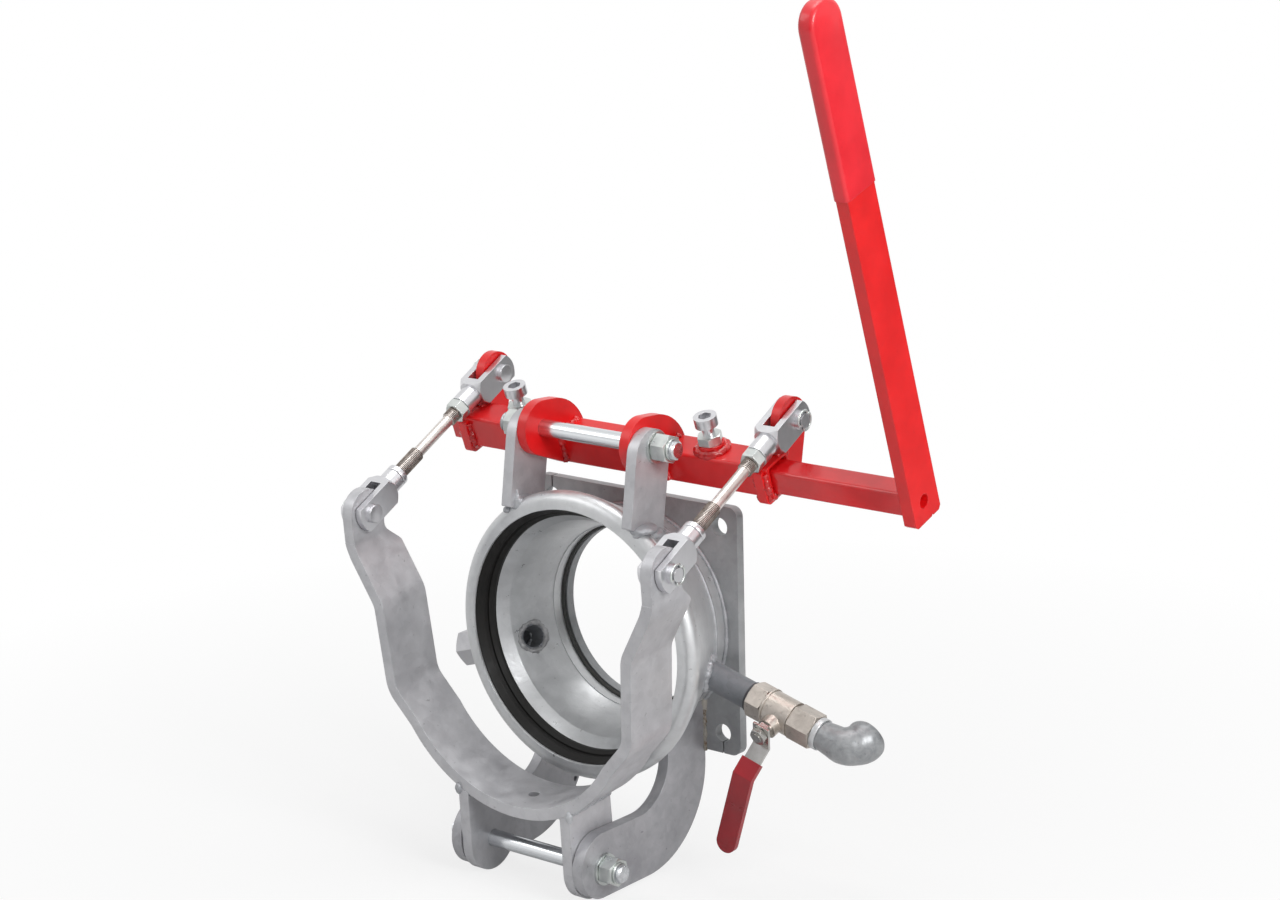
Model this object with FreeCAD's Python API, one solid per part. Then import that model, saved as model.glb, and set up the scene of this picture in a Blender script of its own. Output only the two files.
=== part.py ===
import FreeCAD, Part
import math
import os

# A lever-closed pipe coupling for an irrigation pump: a flanged cup with a rubber seal,
# a swinging yoke that catches the pipe end, and a red hand lever that pulls it tight.
# Sizes are in millimetres. +Z is up, +X runs along the lever tube towards the hand lever,
# and the mouth of the cup faces -Y. The origin is the bore centre on the flange's back.

# Flange plate
plate_width = 300.0
plate_thickness = 12.0
plate_corner = 12.0
bore_radius = 107.5
bolt_edge = 25.0
bolt_spacing = plate_width - 2 * bolt_edge
bolt_hole_radius = 11.0
slit_width = 2.0

# Cup and neck
neck_radius = 132.0
neck_wall = 20.5
neck_inner_radius = neck_radius - neck_wall
neck_length = 20.0
neck_groove = 2.0
cup_back_step = 1.0
cup_back_inner_radius = neck_inner_radius + cup_back_step
cup_throat_radius = 140.5
cup_knee_step = 9.5
cup_knee_radius = cup_throat_radius - cup_knee_step
cup_knee_y = -90.0
seal_width = 16.5
seal_pocket_radius = cup_throat_radius + seal_width
seal_pocket_depth = 23.5
mouth_overlap = 4.7
mouth_radius = seal_pocket_radius - mouth_overlap
mouth_land = 3.5
lip_radius = 13.0
lip_wall = 2.5
lip_centre_radius = seal_pocket_radius + lip_wall
cup_depth = 131.0
seal_lip_depth = 4.0
seal_step = 3.5
seal_groove = 2.5
seal_ridge = 5.5
seal_front_gap = 1.0

# Upper shaft and the lugs that carry it
shaft_radius = 10.0
top_shaft_y = -89.5
top_shaft_z = 232.5
top_shaft_half = 128.0
shaft_chamfer = 1.2
lug_inner = 82.3
lug_thickness = 14.0
lug_top_radius = 30.0
lug_top_y = -95.0
lug_top_z = 224.0
lug_foot_front = -137.3
lug_foot_back = -79.0
lug_foot_z = 147.0
lug_heel_z = 141.0
lug_corner = 2.0

# Fasteners on both shafts
nut_flats = 30.0
nut_height = 18.0
lock_nut_height = 20.0
washer_thickness = 3.0
washer_radius = 18.5

# Lower shaft and the arms that carry it
bottom_shaft_y = -203.5
bottom_shaft_z = -237.0
bottom_shaft_half = 127.0
arm_inner = 84.0
arm_thickness = 14.0
arm_nose_y = -205.0
arm_nose_z = -232.0
arm_nose_radius = 39.0
arm_heel_z = -162.0
arm_heel_radius = 110.0
arm_hollow_y = -137.0
arm_hollow_z = -140.0
arm_hollow_radius = 54.5
arm_top_z = -85.0
arm_drain_radius = 3.2
arm_drain_y = -35.0
arm_drain_z = -219.0

# Lever tube, its pivot plates and its crank plates
lever_tilt = 18.5
tube_y = -36.5
tube_z = 207.2
tube_size = 40.0
tube_wall = 3.0
tube_corner = 3.7
tube_overhang = 11.0
pivot_plate_outer = 82.0
pivot_plate_thickness = 13.0
pivot_plate_radius = 32.5
pivot_crown_back = -36.0
pivot_crown_height = 7.0
pivot_crown_radius = 61.2
pivot_crown_corner = 30.0
pivot_crown_first = 10.0
pivot_crown_last = 70.0
pivot_crown_steps = 8
crank_thickness = 12.0
crank_front = -26.0
crank_bottom = -27.0
crank_back = 40.0
crank_shoulder = 16.0
crank_notch_back = 19.5
crank_notch_height = 20.5
crank_corner = 3.0
crank_heel = 7.0
crank_radius = 26.0
crank_pin_back = 48.3
crank_pin_height = 44.5
crank_eye_drop = 1.0

# Clamping screws on top of the tube
screw_x = 141.0
screw_radius = 7.0
screw_head_radius = 13.5
screw_head_height = 12.0
screw_head_top = 63.7
screw_socket_flats = 14.0
screw_socket_depth = 10.0
screw_nut_flats = 26.0
screw_nut_height = 11.0
screw_boss_radius = 15.5
screw_boss_height = 9.0

# Sliding bar and hand lever
bar_size = 30.0
bar_corner = 3.7
bar_overhang = 17.0
lever_inner_face = 405.0
lever_thickness = 15.0
lever_front = -23.0
lever_back = 27.0
lever_bottom = -26.0
lever_top = 576.0
lever_top_cut = 20.0
lever_chamfer = 4.0
lever_hole_radius = 8.0
lever_notch_radius = 1.5
grip_start = 370.0
grip_top = 580.0
grip_front = -25.5
grip_back = 29.5
grip_wall = 2.3

# Yoke that swings on the lower shaft
hook_pin_y = -240.0
hook_pin_z = 144.0
yoke_lean = 4.3
yoke_thickness = 14.0
yoke_bend = 26.0
yoke_front = -28.0
yoke_back = 45.0
yoke_arc_radius = 161.5
yoke_arc_height = -151.0
yoke_arc_end = 58.0
yoke_knee = (168.0, -201.5)
yoke_waist = (176.0, -99.3)
yoke_flare_step = 5.0
yoke_flare_drop = -44.2
yoke_low_end = -400.0
yoke_tab_start = -31.0
yoke_tab_half = 27.5
yoke_shoulder = -51.0
yoke_shoulder_radius = 12.0
yoke_neck = 25.0
yoke_neck_height = -20.0
yoke_neck_radius = 14.0
yoke_drain_radius = 6.5
leg_inner = 69.0
leg_thickness = 14.0
leg_nose_radius = 38.0

# Tie rods with their forks
rod_x = 219.0
tube_half = rod_x + tube_overhang
yoke_tab_inner = rod_x - yoke_thickness / 2
yoke_flare = (yoke_tab_inner - yoke_flare_step, yoke_flare_drop)
fork_size = 32.0
fork_end = 20.0
fork_end_radius = 25.7
fork_slot = 16.0
fork_slot_depth = 34.0
fork_square = 45.0
fork_length = 69.0
lower_fork_length = 61.0
fork_neck_radius = 13.5
fork_shoulder_radius = 17.0
fork_shoulder = 7.0
pin_radius = 8.0
pin_head_radius = 11.0
pin_head_height = 4.0
pin_tail = 8.0
collar_radius = 11.0
collar_width = 5.0
rod_radius = 8.0
rod_shank_radius = 6.8
rod_lower_thread = 66.0
rod_upper_thread = 45.0
rod_engagement = 20.0
rod_nut_flats = 24.0
rod_nut_height = 13.0
rod_collar_height = 8.0

# Side ports, ball valve and elbow
right_port_angle = 15.2
right_port_y = -53.8
left_port_angle = 17.2
left_port_y = -65.0
pipe_radius = 16.85
pipe_bore = 13.25
pipe_end = 224.0
port_run_in = 15.0
cap_pipe_end = 219.0
cap_start = 205.0
cap_end = 234.0
cap_flats = 41.0
cap_turn = 30.0
tape_width = 3.0
valve_start = 209.0
valve_joint = 231.0
valve_round_length = 37.0
valve_hex_length = 32.0
valve_hex_start = valve_joint + valve_round_length
valve_end = valve_hex_start + valve_hex_length
valve_flats = 38.0
valve_round_radius = 21.0
valve_port = 11.0
valve_roll = 22.0
ball_radius = 16.5
ball_chamber_radius = 17.6
seat_start = 10.0
seat_back = 19.5
stem_sink = 2.5
tang_half = 2.5
tang_height = 4.0
thread_depth = 15.0
stem_radius = 6.0
bonnet_radius = 12.0
bonnet_height = 30.0
gland_flats = 19.0
gland_height = 7.0
stem_height = 49.0
handle_seat = 38.0
handle_thickness = 3.0
handle_width = 22.0
handle_tail = 13.0
handle_nut_flats = 19.0
handle_nut_height = 6.5
handle_reach = 18.8
handle_first_bend = 55.0
handle_first_length = 40.4
handle_second_bend = 20.5
handle_second_length = 99.5
handle_swing = 2.0
handle_nut_roll = 15.0
sleeve_wall = 2.0
sleeve_start = 20.0
elbow_arm = 50.0
elbow_centre = valve_end + elbow_arm
elbow_bend = 22.0
elbow_radius = 17.6
elbow_socket_radius = 22.0
elbow_bead_radius = 24.5
elbow_bead = 20.0
elbow_bead_edge = 6.0
elbow_collar = 8.0
elbow_reach = 31.0
elbow_thread_radius = 16.6
elbow_thread_depth = 17.0

# Clearances between pieces that move on each other
running_fit = 0.1
side_gap = 0.3
ball_gap = 0.4

origin = FreeCAD.Vector(0, 0, 0)
x_axis = FreeCAD.Vector(1, 0, 0)
y_axis = FreeCAD.Vector(0, 1, 0)
z_axis = FreeCAD.Vector(0, 0, 1)


def vec(x, y, z):
    return FreeCAD.Vector(x, y, z)


def rod_between(start, end, radius):
    along = end.sub(start)
    return Part.makeCylinder(radius, along.Length, start, along)


def tube_between(start, end, outer, inner):
    return rod_between(start, end, outer).cut(rod_between(start, end, inner))


def round_edges(shape):
    return [edge for edge in shape.Edges if len(edge.Vertexes) == 1]


def along_x(x0, x1, y, z, radius):
    return rod_between(vec(x0, y, z), vec(x1, y, z), radius)


def block(x0, x1, y0, y1, z0, z1):
    return Part.makeBox(x1 - x0, y1 - y0, z1 - z0, vec(x0, y0, z0))


def hexagon(flats, start, end, turn=0.0):
    # Hexagonal prism from start to end, turned about its own axis.
    along = end.sub(start)
    corner = flats / math.sqrt(3)
    points = []
    for step in range(7):
        angle = math.radians(60 * step + turn)
        points.append(vec(corner * math.cos(angle), corner * math.sin(angle), 0))
    prism = Part.Face(Part.makePolygon(points)).extrude(vec(0, 0, along.Length))
    prism.Placement = FreeCAD.Placement(start, FreeCAD.Rotation(z_axis, along))
    return prism


def chamfered_hexagon(flats, start, end, turn=0.0):
    # The corners are turned off at both ends, as on a machined nut.
    along = end.sub(start)
    length = along.Length
    bevel = 0.08 * flats
    corner = flats / math.sqrt(3)
    profile = [(0, 0), (flats / 2 - bevel / 4, 0), (corner, bevel / 2), (corner, length - bevel / 2),
               (flats / 2 - bevel / 4, length), (0, length)]
    points = [vec(radius, 0, height) for radius, height in profile]
    barrel = Part.Face(Part.makePolygon(points + points[:1])).revolve(origin, z_axis, 360)
    barrel.Placement = FreeCAD.Placement(start, FreeCAD.Rotation(z_axis, along))
    return hexagon(flats, start, end, turn).common(barrel)


def belt(rounds, place):
    # Closed outline drawn tight around circles, given as (u, v, radius) anticlockwise.
    # A negative radius is a hollow that the outline passes on its other side.
    count = len(rounds)
    starts = []
    ends = []
    for index in range(count):
        u0, v0, r0 = rounds[index]
        u1, v1, r1 = rounds[(index + 1) % count]
        distance = math.hypot(u1 - u0, v1 - v0)
        normal = math.atan2(v1 - v0, u1 - u0) + math.acos((r1 - r0) / distance)
        starts.append((u0 - r0 * math.cos(normal), v0 - r0 * math.sin(normal)))
        ends.append((u1 - r1 * math.cos(normal), v1 - r1 * math.sin(normal)))
    edges = []
    for index in range(count):
        u, v, radius = rounds[index]
        arrive = ends[index - 1]
        leave = starts[index]
        if radius != 0 and math.hypot(leave[0] - arrive[0], leave[1] - arrive[1]) > 1e-6:
            first = math.atan2(arrive[1] - v, arrive[0] - u)
            last = math.atan2(leave[1] - v, leave[0] - u)
            sweep = (last - first) % (2 * math.pi)
            if radius < 0:
                sweep -= 2 * math.pi
            middle = first + sweep / 2
            size = abs(radius)
            halfway = (u + size * math.cos(middle), v + size * math.sin(middle))
            edges.append(Part.Arc(place(*arrive), place(*halfway), place(*leave)).toShape())
        edges.append(Part.makeLine(place(*leave), place(*ends[index])))
    return Part.Wire(Part.__sortEdges__(edges))


def plate_across_x(rounds, x0, x1):
    # Flat plate whose outline lies in the YZ plane.
    wire = belt(rounds, lambda y, z: vec(x0, y, z))
    return Part.Face(wire).extrude(vec(x1 - x0, 0, 0))


def square_rounds(half, corner):
    inset = half - corner
    return [(inset, -inset, corner), (inset, inset, corner), (-inset, inset, corner),
            (-inset, -inset, corner)]


def turned(profile):
    # Ring or cup turned about the Y axis from (radius, y) points.
    points = [vec(radius, y, 0) for radius, y in profile]
    face = Part.Face(Part.makePolygon(points + points[:1]))
    return face.revolve(origin, y_axis, 360)


def both_sides(shape):
    return Part.makeCompound([shape, mirrored(shape)])


def mirrored(shape):
    return shape.mirror(origin, x_axis)


def tilted(shape, angle, y, z):
    # Turns a shape drawn upright about the X axis and carries it to its place.
    result = shape.copy()
    result.rotate(origin, x_axis, angle)
    result.translate(vec(0, y, z))
    return result


def in_lever_frame(shape):
    return tilted(shape, lever_tilt, tube_y, tube_z)


def in_yoke_frame(shape):
    return tilted(shape, yoke_lean, hook_pin_y, hook_pin_z)


def in_right_port(shape, roll=0.0):
    # Shapes for a side port are drawn along +X from the bore axis.
    result = shape.copy()
    result.rotate(origin, x_axis, roll)
    result.rotate(origin, y_axis, right_port_angle)
    result.translate(vec(0, right_port_y, 0))
    return result


def in_left_port(shape):
    result = shape.copy()
    result.rotate(origin, y_axis, left_port_angle)
    result.translate(vec(0, left_port_y, 0))
    return mirrored(result)


def from_world(angle, y, z, point_y, point_z):
    # Gives a world point in the upright drawing of a tilted part.
    turn = math.radians(angle)
    dy = point_y - y
    dz = point_z - z
    return dy * math.cos(turn) + dz * math.sin(turn), dz * math.cos(turn) - dy * math.sin(turn)


def crank_pin():
    turn = math.radians(lever_tilt)
    y = tube_y + crank_pin_back * math.cos(turn) - crank_pin_height * math.sin(turn)
    z = tube_z + crank_pin_back * math.sin(turn) + crank_pin_height * math.cos(turn)
    return y, z


# Housing: plate, neck, cup and seal

def flange_plate():
    half = plate_width / 2
    inset = half - plate_corner
    corners = [(inset, inset, plate_corner), (-inset, inset, plate_corner),
               (-inset, -inset, plate_corner), (inset, -inset, plate_corner)]
    wire = belt(corners, lambda x, z: vec(x, 0, z))
    plate = Part.Face(wire).extrude(vec(0, -plate_thickness, 0))
    through = vec(0, -plate_thickness, 0)
    plate = plate.cut(rod_between(origin, through, bore_radius))
    place = bolt_spacing / 2
    for x in (-place, place):
        for z in (-place, place):
            hole = vec(x, 0, z)
            plate = plate.cut(rod_between(hole, hole.add(through), bolt_hole_radius))
    for side in (-1, 1):
        centre = side * place
        ends = sorted((-side * place, -side * half))
        slit = block(centre - slit_width / 2, centre + slit_width / 2, -plate_thickness, 0,
                     ends[0], ends[1])
        plate = plate.cut(slit)
    return plate


def neck_back():
    return -plate_thickness


def neck_front():
    return neck_back() - neck_length


def neck_ring():
    step = neck_back() - neck_groove
    profile = [(neck_radius, neck_back()), (neck_radius, neck_front()),
               (neck_inner_radius, neck_front()), (neck_inner_radius, step),
               (neck_inner_radius + neck_groove, step), (neck_inner_radius + neck_groove, neck_back())]
    return turned(profile)


def cup_outline(inner_points):
    # The round lip meets the conical wall in a smooth line.
    lip_y = lip_radius - cup_depth
    tangent = lip_tangent(lip_y)
    middle = lip_radius / math.sqrt(2)
    place = lambda radius, y: vec(radius, y, 0)
    arc = Part.Arc(place(*tangent), place(lip_centre_radius + middle, lip_y - middle),
                   place(lip_centre_radius, -cup_depth)).toShape()
    chain = [(lip_centre_radius, -cup_depth)] + inner_points
    edges = [Part.makeLine(place(neck_radius, neck_front()), place(*tangent)), arc]
    for first, last in zip(chain, chain[1:]):
        edges.append(Part.makeLine(place(*first), place(*last)))
    edges.append(Part.makeLine(place(*chain[-1]), place(neck_radius, neck_front())))
    return Part.Face(Part.Wire(edges)).revolve(origin, y_axis, 360)


def lip_tangent(lip_y):
    # Where a line from the back edge of the cup touches the round lip on its outer side.
    dx = lip_centre_radius - neck_radius
    dy = lip_y - neck_front()
    distance = math.hypot(dx, dy)
    heading = math.atan2(dy, dx) + math.asin(lip_radius / distance)
    length = math.sqrt(distance ** 2 - lip_radius ** 2)
    return neck_radius + length * math.cos(heading), neck_front() + length * math.sin(heading)


def cup_envelope():
    return cup_outline([(0, -cup_depth), (0, neck_front())])


def cup_cavity():
    pocket_front = mouth_land - cup_depth
    pocket_back = pocket_front + seal_pocket_depth
    profile = [(0, -cup_depth), (mouth_radius, -cup_depth), (mouth_radius, pocket_front),
               (cup_throat_radius, pocket_back), (cup_knee_radius, cup_knee_y),
               (cup_back_inner_radius, neck_front()), (cup_back_inner_radius, 0), (0, 0)]
    return turned(profile)


def port_drill():
    return along_x(cup_back_inner_radius - port_run_in, lip_centre_radius, 0, 0, pipe_radius)


def coupling_cup():
    pocket_front = mouth_land - cup_depth
    pocket_back = pocket_front + seal_pocket_depth
    inner = [(mouth_radius, -cup_depth), (mouth_radius, pocket_front),
             (seal_pocket_radius, pocket_front), (seal_pocket_radius, pocket_back),
             (cup_throat_radius, pocket_back), (cup_knee_radius, cup_knee_y),
             (cup_back_inner_radius, neck_front())]
    cup = cup_outline(inner)
    return cup.cut(in_right_port(port_drill())).cut(in_left_port(port_drill()))


def cup_seal():
    # Lip seal with one groove between its front bead and its sealing lip.
    pocket_front = mouth_land - cup_depth
    pocket_back = pocket_front + seal_pocket_depth
    lip = cup_throat_radius
    step = lip + seal_step
    ridge = lip + seal_ridge
    first = pocket_back - seal_lip_depth
    second = first - 2 * seal_groove
    third = second - 2 * seal_groove
    profile = [(seal_pocket_radius, pocket_front), (seal_pocket_radius, pocket_back),
               (lip, pocket_back), (lip, first), (step, second), (step + seal_groove, second),
               (ridge + seal_groove, third), (ridge, third),
               (mouth_radius - seal_front_gap, pocket_front)]
    return turned(profile)


# Housing: lugs, arms and shafts

def shaft_lug():
    rounds = [(lug_top_y, lug_top_z, lug_top_radius),
              (lug_foot_front + lug_corner, lug_foot_z, lug_corner),
              (lug_foot_back - lug_corner, lug_heel_z - 6, lug_corner)]
    lug = plate_across_x(rounds, lug_inner, lug_inner + lug_thickness)
    lug = lug.cut(cup_envelope())
    return lug.cut(along_x(0, top_shaft_half, top_shaft_y, top_shaft_z, shaft_radius))


def hinge_arm(with_drain):
    back = -plate_thickness
    front = arm_hollow_y + arm_hollow_radius
    rounds = [(arm_nose_y, arm_nose_z, arm_nose_radius),
              (back - arm_heel_radius, arm_heel_z, arm_heel_radius),
              (back, arm_top_z, 0), (front, arm_top_z, 0),
              (arm_hollow_y, arm_hollow_z, -arm_hollow_radius)]
    arm = plate_across_x(rounds, arm_inner, arm_inner + arm_thickness)
    neck = rod_between(vec(0, 0, 0), vec(0, neck_front(), 0), neck_radius)
    arm = arm.cut(cup_envelope()).cut(neck)
    arm = arm.cut(along_x(0, bottom_shaft_half, bottom_shaft_y, bottom_shaft_z, shaft_radius))
    if with_drain:
        arm = arm.cut(along_x(0, bottom_shaft_half, arm_drain_y, arm_drain_z, arm_drain_radius))
    return arm


def shaft(half, y, z):
    body = along_x(-half, half, y, z, shaft_radius)
    return body.makeChamfer(shaft_chamfer, round_edges(body))


def washer(seat, y, z):
    ring = tube_between(vec(seat, y, z), vec(seat + washer_thickness, y, z), washer_radius,
                        shaft_radius)
    return both_sides(ring)


def nut_pair(seat, height, y, z, turn):
    first = seat + washer_thickness
    nut = chamfered_hexagon(nut_flats, vec(first, y, z), vec(first + height, y, z), turn)
    nut = nut.cut(along_x(first, first + height, y, z, shaft_radius))
    return both_sides(nut)


# Housing: side ports, valve and elbow

def right_port_pipe():
    pipe = tube_between(vec(bore_radius, 0, 0), vec(pipe_end, 0, 0), pipe_radius, pipe_bore)
    return in_right_port(pipe).cut(cup_cavity())


def left_port_pipe():
    pipe = tube_between(vec(bore_radius, 0, 0), vec(cap_pipe_end, 0, 0), pipe_radius, pipe_bore)
    return in_left_port(pipe).cut(cup_cavity())


def left_port_cap():
    cap = chamfered_hexagon(cap_flats, vec(cap_start, 0, 0), vec(cap_end, 0, 0), cap_turn)
    cap = cap.cut(along_x(cap_start, cap_pipe_end, 0, 0, pipe_radius))
    return in_left_port(cap)


def valve_thread_tape():
    ring = tube_between(vec(valve_start - tape_width, 0, 0), vec(valve_start, 0, 0),
                        pipe_radius + 1.2, pipe_radius)
    return in_right_port(ring)


def valve_centre():
    return (valve_joint + valve_hex_start) / 2 + 1.5


def valve_end_piece():
    # The end piece screws into the round body and holds the first seat.
    piece = chamfered_hexagon(valve_flats, vec(valve_start, 0, 0), vec(valve_joint, 0, 0))
    piece = piece.cut(along_x(valve_start, valve_start + thread_depth, 0, 0, pipe_radius))
    piece = piece.cut(along_x(valve_start, valve_joint, 0, 0, valve_port))
    return in_right_port(piece, valve_roll)


def valve_body():
    centre = valve_centre()
    body = along_x(valve_joint, valve_hex_start, 0, 0, valve_round_radius)
    hex_end = chamfered_hexagon(valve_flats, vec(valve_hex_start, 0, 0), vec(valve_end, 0, 0))
    body = body.fuse(hex_end)
    bonnet = rod_between(vec(centre, 0, 0), vec(centre, -bonnet_height, 0), bonnet_radius)
    body = body.fuse(bonnet)
    body = body.cut(along_x(valve_joint, centre + seat_back, 0, 0, ball_chamber_radius))
    body = body.cut(along_x(centre, valve_end, 0, 0, valve_port))
    body = body.cut(along_x(valve_end - thread_depth, valve_end, 0, 0, elbow_thread_radius))
    stem_hole = rod_between(vec(centre, 0, 0), vec(centre, -bonnet_height, 0),
                            stem_radius + running_fit)
    return in_right_port(body.cut(stem_hole), valve_roll)


def valve_seats():
    # Plastic rings on both sides of the ball.
    centre = valve_centre()
    hollow = Part.makeSphere(ball_radius + ball_gap, vec(centre, 0, 0))
    rings = []
    for x0, x1 in ((valve_joint, centre - seat_start), (centre + seat_start, centre + seat_back)):
        ring = tube_between(vec(x0, 0, 0), vec(x1, 0, 0), ball_chamber_radius, valve_port)
        rings.append(ring.cut(hollow))
    return in_right_port(Part.makeCompound(rings), valve_roll)


def valve_gland_nut():
    centre = valve_centre()
    start = vec(centre, -bonnet_height, 0)
    end = vec(centre, -bonnet_height - gland_height, 0)
    nut = chamfered_hexagon(gland_flats, start, end)
    return in_right_port(nut.cut(rod_between(start, end, stem_radius + running_fit)), valve_roll)


def on_stem(shape):
    # The handle hangs a little off square, and stem and ball turn with it.
    result = shape.copy()
    result.rotate(vec(valve_centre(), 0, 0), y_axis, handle_swing)
    return in_right_port(result, valve_roll)


def valve_ball():
    # The bore lies across the pipe, so the valve stands closed.
    centre = valve_centre()
    ball = Part.makeSphere(ball_radius, vec(centre, 0, 0))
    across = vec(centre, 0, ball_radius)
    ball = ball.cut(rod_between(across, vec(centre, 0, -ball_radius), valve_port))
    return on_stem(ball.cut(stem_shape()))


def stem_shape():
    centre = valve_centre()
    foot = stem_sink - ball_radius
    stem = rod_between(vec(centre, foot, 0), vec(centre, -stem_height, 0), stem_radius)
    flat = block(centre - stem_radius, centre + stem_radius, foot - tang_height, foot,
                 tang_half, stem_radius)
    return stem.cut(flat).cut(flat.mirror(origin, z_axis))


def valve_stem():
    return on_stem(stem_shape())


def handle_path(height):
    # Side view of the handle as (distance down, height above the pipe axis) points.
    first = math.radians(handle_first_bend)
    second = math.radians(handle_second_bend)
    down = handle_reach
    points = [(-handle_tail, height), (down, height)]
    down += handle_first_length * math.cos(first)
    height += handle_first_length * math.sin(first)
    points.append((down, height))
    down += handle_second_length * math.cos(second)
    height += handle_second_length * math.sin(second)
    points.append((down, height))
    return points


def strip_along(points, width, lower, upper):
    # Bent flat strip: the points offset to both sides and joined into one outline.
    def offset(distance):
        row = []
        for index, (u, v) in enumerate(points):
            before = points[max(index - 1, 0)]
            after = points[min(index + 1, len(points) - 1)]
            heads = []
            for start, end in ((before, (u, v)), ((u, v), after)):
                if start != end:
                    heads.append(math.atan2(end[1] - start[1], end[0] - start[0]))
            bend = (heads[0] + heads[-1]) / 2
            reach = distance / math.cos((heads[-1] - heads[0]) / 2)
            row.append((u - reach * math.sin(bend), v + reach * math.cos(bend)))
        return row
    outline = offset(lower) + offset(upper)[::-1]
    centre = valve_centre()
    corners = [vec(centre - width / 2, -v, -u) for u, v in outline]
    face = Part.Face(Part.makePolygon(corners + corners[:1]))
    return face.extrude(vec(width, 0, 0))


def round_tip(points, radius):
    # Rounds the outer corners of a strip, seen square to its last leg.
    centre = valve_centre()
    (u0, v0), (u1, v1) = points[-2], points[-1]
    length = math.hypot(u1 - u0, v1 - v0)
    along = vec(0, -(v1 - v0) / length, -(u1 - u0) / length)
    across = vec(0, -(u1 - u0) / length, (v1 - v0) / length)
    tip = vec(centre, -v1, -u1)
    middle = tip.sub(FreeCAD.Vector(along).multiply(radius))
    depth = FreeCAD.Vector(across).multiply(radius)
    disc = rod_between(middle.sub(depth), middle.add(depth), radius)
    slab = Part.makeBox(4 * radius, 2 * radius, radius, vec(-2 * radius, -radius, 0))
    slab.Placement = FreeCAD.Placement(middle, FreeCAD.Rotation(x_axis, across, along, "ZYX"))
    return slab.cut(disc)


def valve_handle():
    width = handle_width
    points = handle_path(handle_seat + handle_thickness / 2)
    strip = strip_along(points, width, -handle_thickness / 2, handle_thickness / 2)
    strip = strip.cut(round_tip(points, width / 2))
    centre = valve_centre()
    top = -handle_seat - handle_thickness
    hole = rod_between(vec(centre, -handle_seat, 0), vec(centre, top, 0), stem_radius)
    return on_stem(strip.cut(hole))


def handle_sleeve():
    # Dipped sleeve over the outer part of the handle.
    points = handle_path(handle_seat + handle_thickness / 2)
    first = math.radians(handle_first_bend)
    start = (points[1][0] + sleeve_start * math.cos(first),
             points[1][1] + sleeve_start * math.sin(first))
    second = math.radians(handle_second_bend)
    tip = (points[3][0] + sleeve_wall * math.cos(second), points[3][1] + sleeve_wall * math.sin(second))
    half = handle_thickness / 2
    width = handle_width + 2 * sleeve_wall
    outer = strip_along([start, points[2], tip], width, -half - sleeve_wall, half + sleeve_wall)
    outer = outer.cut(round_tip([points[2], tip], width / 2))
    inner = strip_along(points, handle_width, -half, half).cut(round_tip(points, handle_width / 2))
    return on_stem(outer.cut(inner))


def handle_nut():
    centre = valve_centre()
    seat = -handle_seat - handle_thickness
    start = vec(centre, seat, 0)
    end = vec(centre, seat - handle_nut_height, 0)
    nut = chamfered_hexagon(handle_nut_flats, start, end, handle_nut_roll)
    return on_stem(nut.cut(rod_between(start, end, stem_radius)))


def elbow_path(start, end):
    # From the valve along X, round the bend, then back along +Y.
    corner = elbow_centre
    bend = elbow_bend
    straight = Part.makeLine(vec(start, 0, 0), vec(corner - bend, 0, 0))
    middle = bend * (1 - math.sqrt(0.5))
    arc = Part.Arc(vec(corner - bend, 0, 0), vec(corner - middle, middle, 0),
                   vec(corner, bend, 0)).toShape()
    leave = Part.makeLine(vec(corner, bend, 0), vec(corner, end, 0))
    return Part.Wire([straight, arc, leave])


def swept(path, start, radius):
    circle = Part.Wire(Part.makeCircle(radius, vec(start, 0, 0), x_axis))
    return path.makePipeShell([circle], True, False)


def outlet_elbow():
    start = valve_end - thread_depth
    outer = swept(elbow_path(start, elbow_reach), start, elbow_thread_radius)
    shoulder = valve_end + elbow_collar
    body = swept(elbow_path(shoulder, elbow_reach), shoulder, elbow_radius)
    bend_start = elbow_centre - elbow_bend + 2
    socket = swept(elbow_path(bend_start, elbow_reach), bend_start, elbow_socket_radius)
    bead = rod_between(vec(elbow_centre, elbow_reach - elbow_bead, 0),
                       vec(elbow_centre, elbow_reach, 0), elbow_bead_radius)
    bead = bead.makeFillet(elbow_bead_edge, round_edges(bead))
    elbow = outer.fuse([body, socket, bead])
    bore = swept(elbow_path(start, elbow_reach), start, pipe_bore)
    thread = rod_between(vec(elbow_centre, elbow_reach - elbow_thread_depth, 0),
                         vec(elbow_centre, elbow_reach, 0), elbow_thread_radius)
    return in_right_port(elbow.cut(bore).cut(thread), valve_roll)


# Lever frame

def square_tube():
    half = tube_size / 2
    outer = plate_across_x(square_rounds(half, tube_corner), -tube_half, tube_half)
    inner = plate_across_x(square_rounds(half - tube_wall, tube_corner - tube_wall + 0.8),
                           -tube_half, tube_half)
    tube = outer.cut(inner)
    for side in (-1, 1):
        hole = rod_between(vec(side * screw_x, 0, 0), vec(side * screw_x, 0, half), screw_radius)
        tube = tube.cut(hole)
    return in_lever_frame(tube)


def tube_square(x0, x1):
    return plate_across_x(square_rounds(tube_size / 2, tube_corner), x0, x1)


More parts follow.
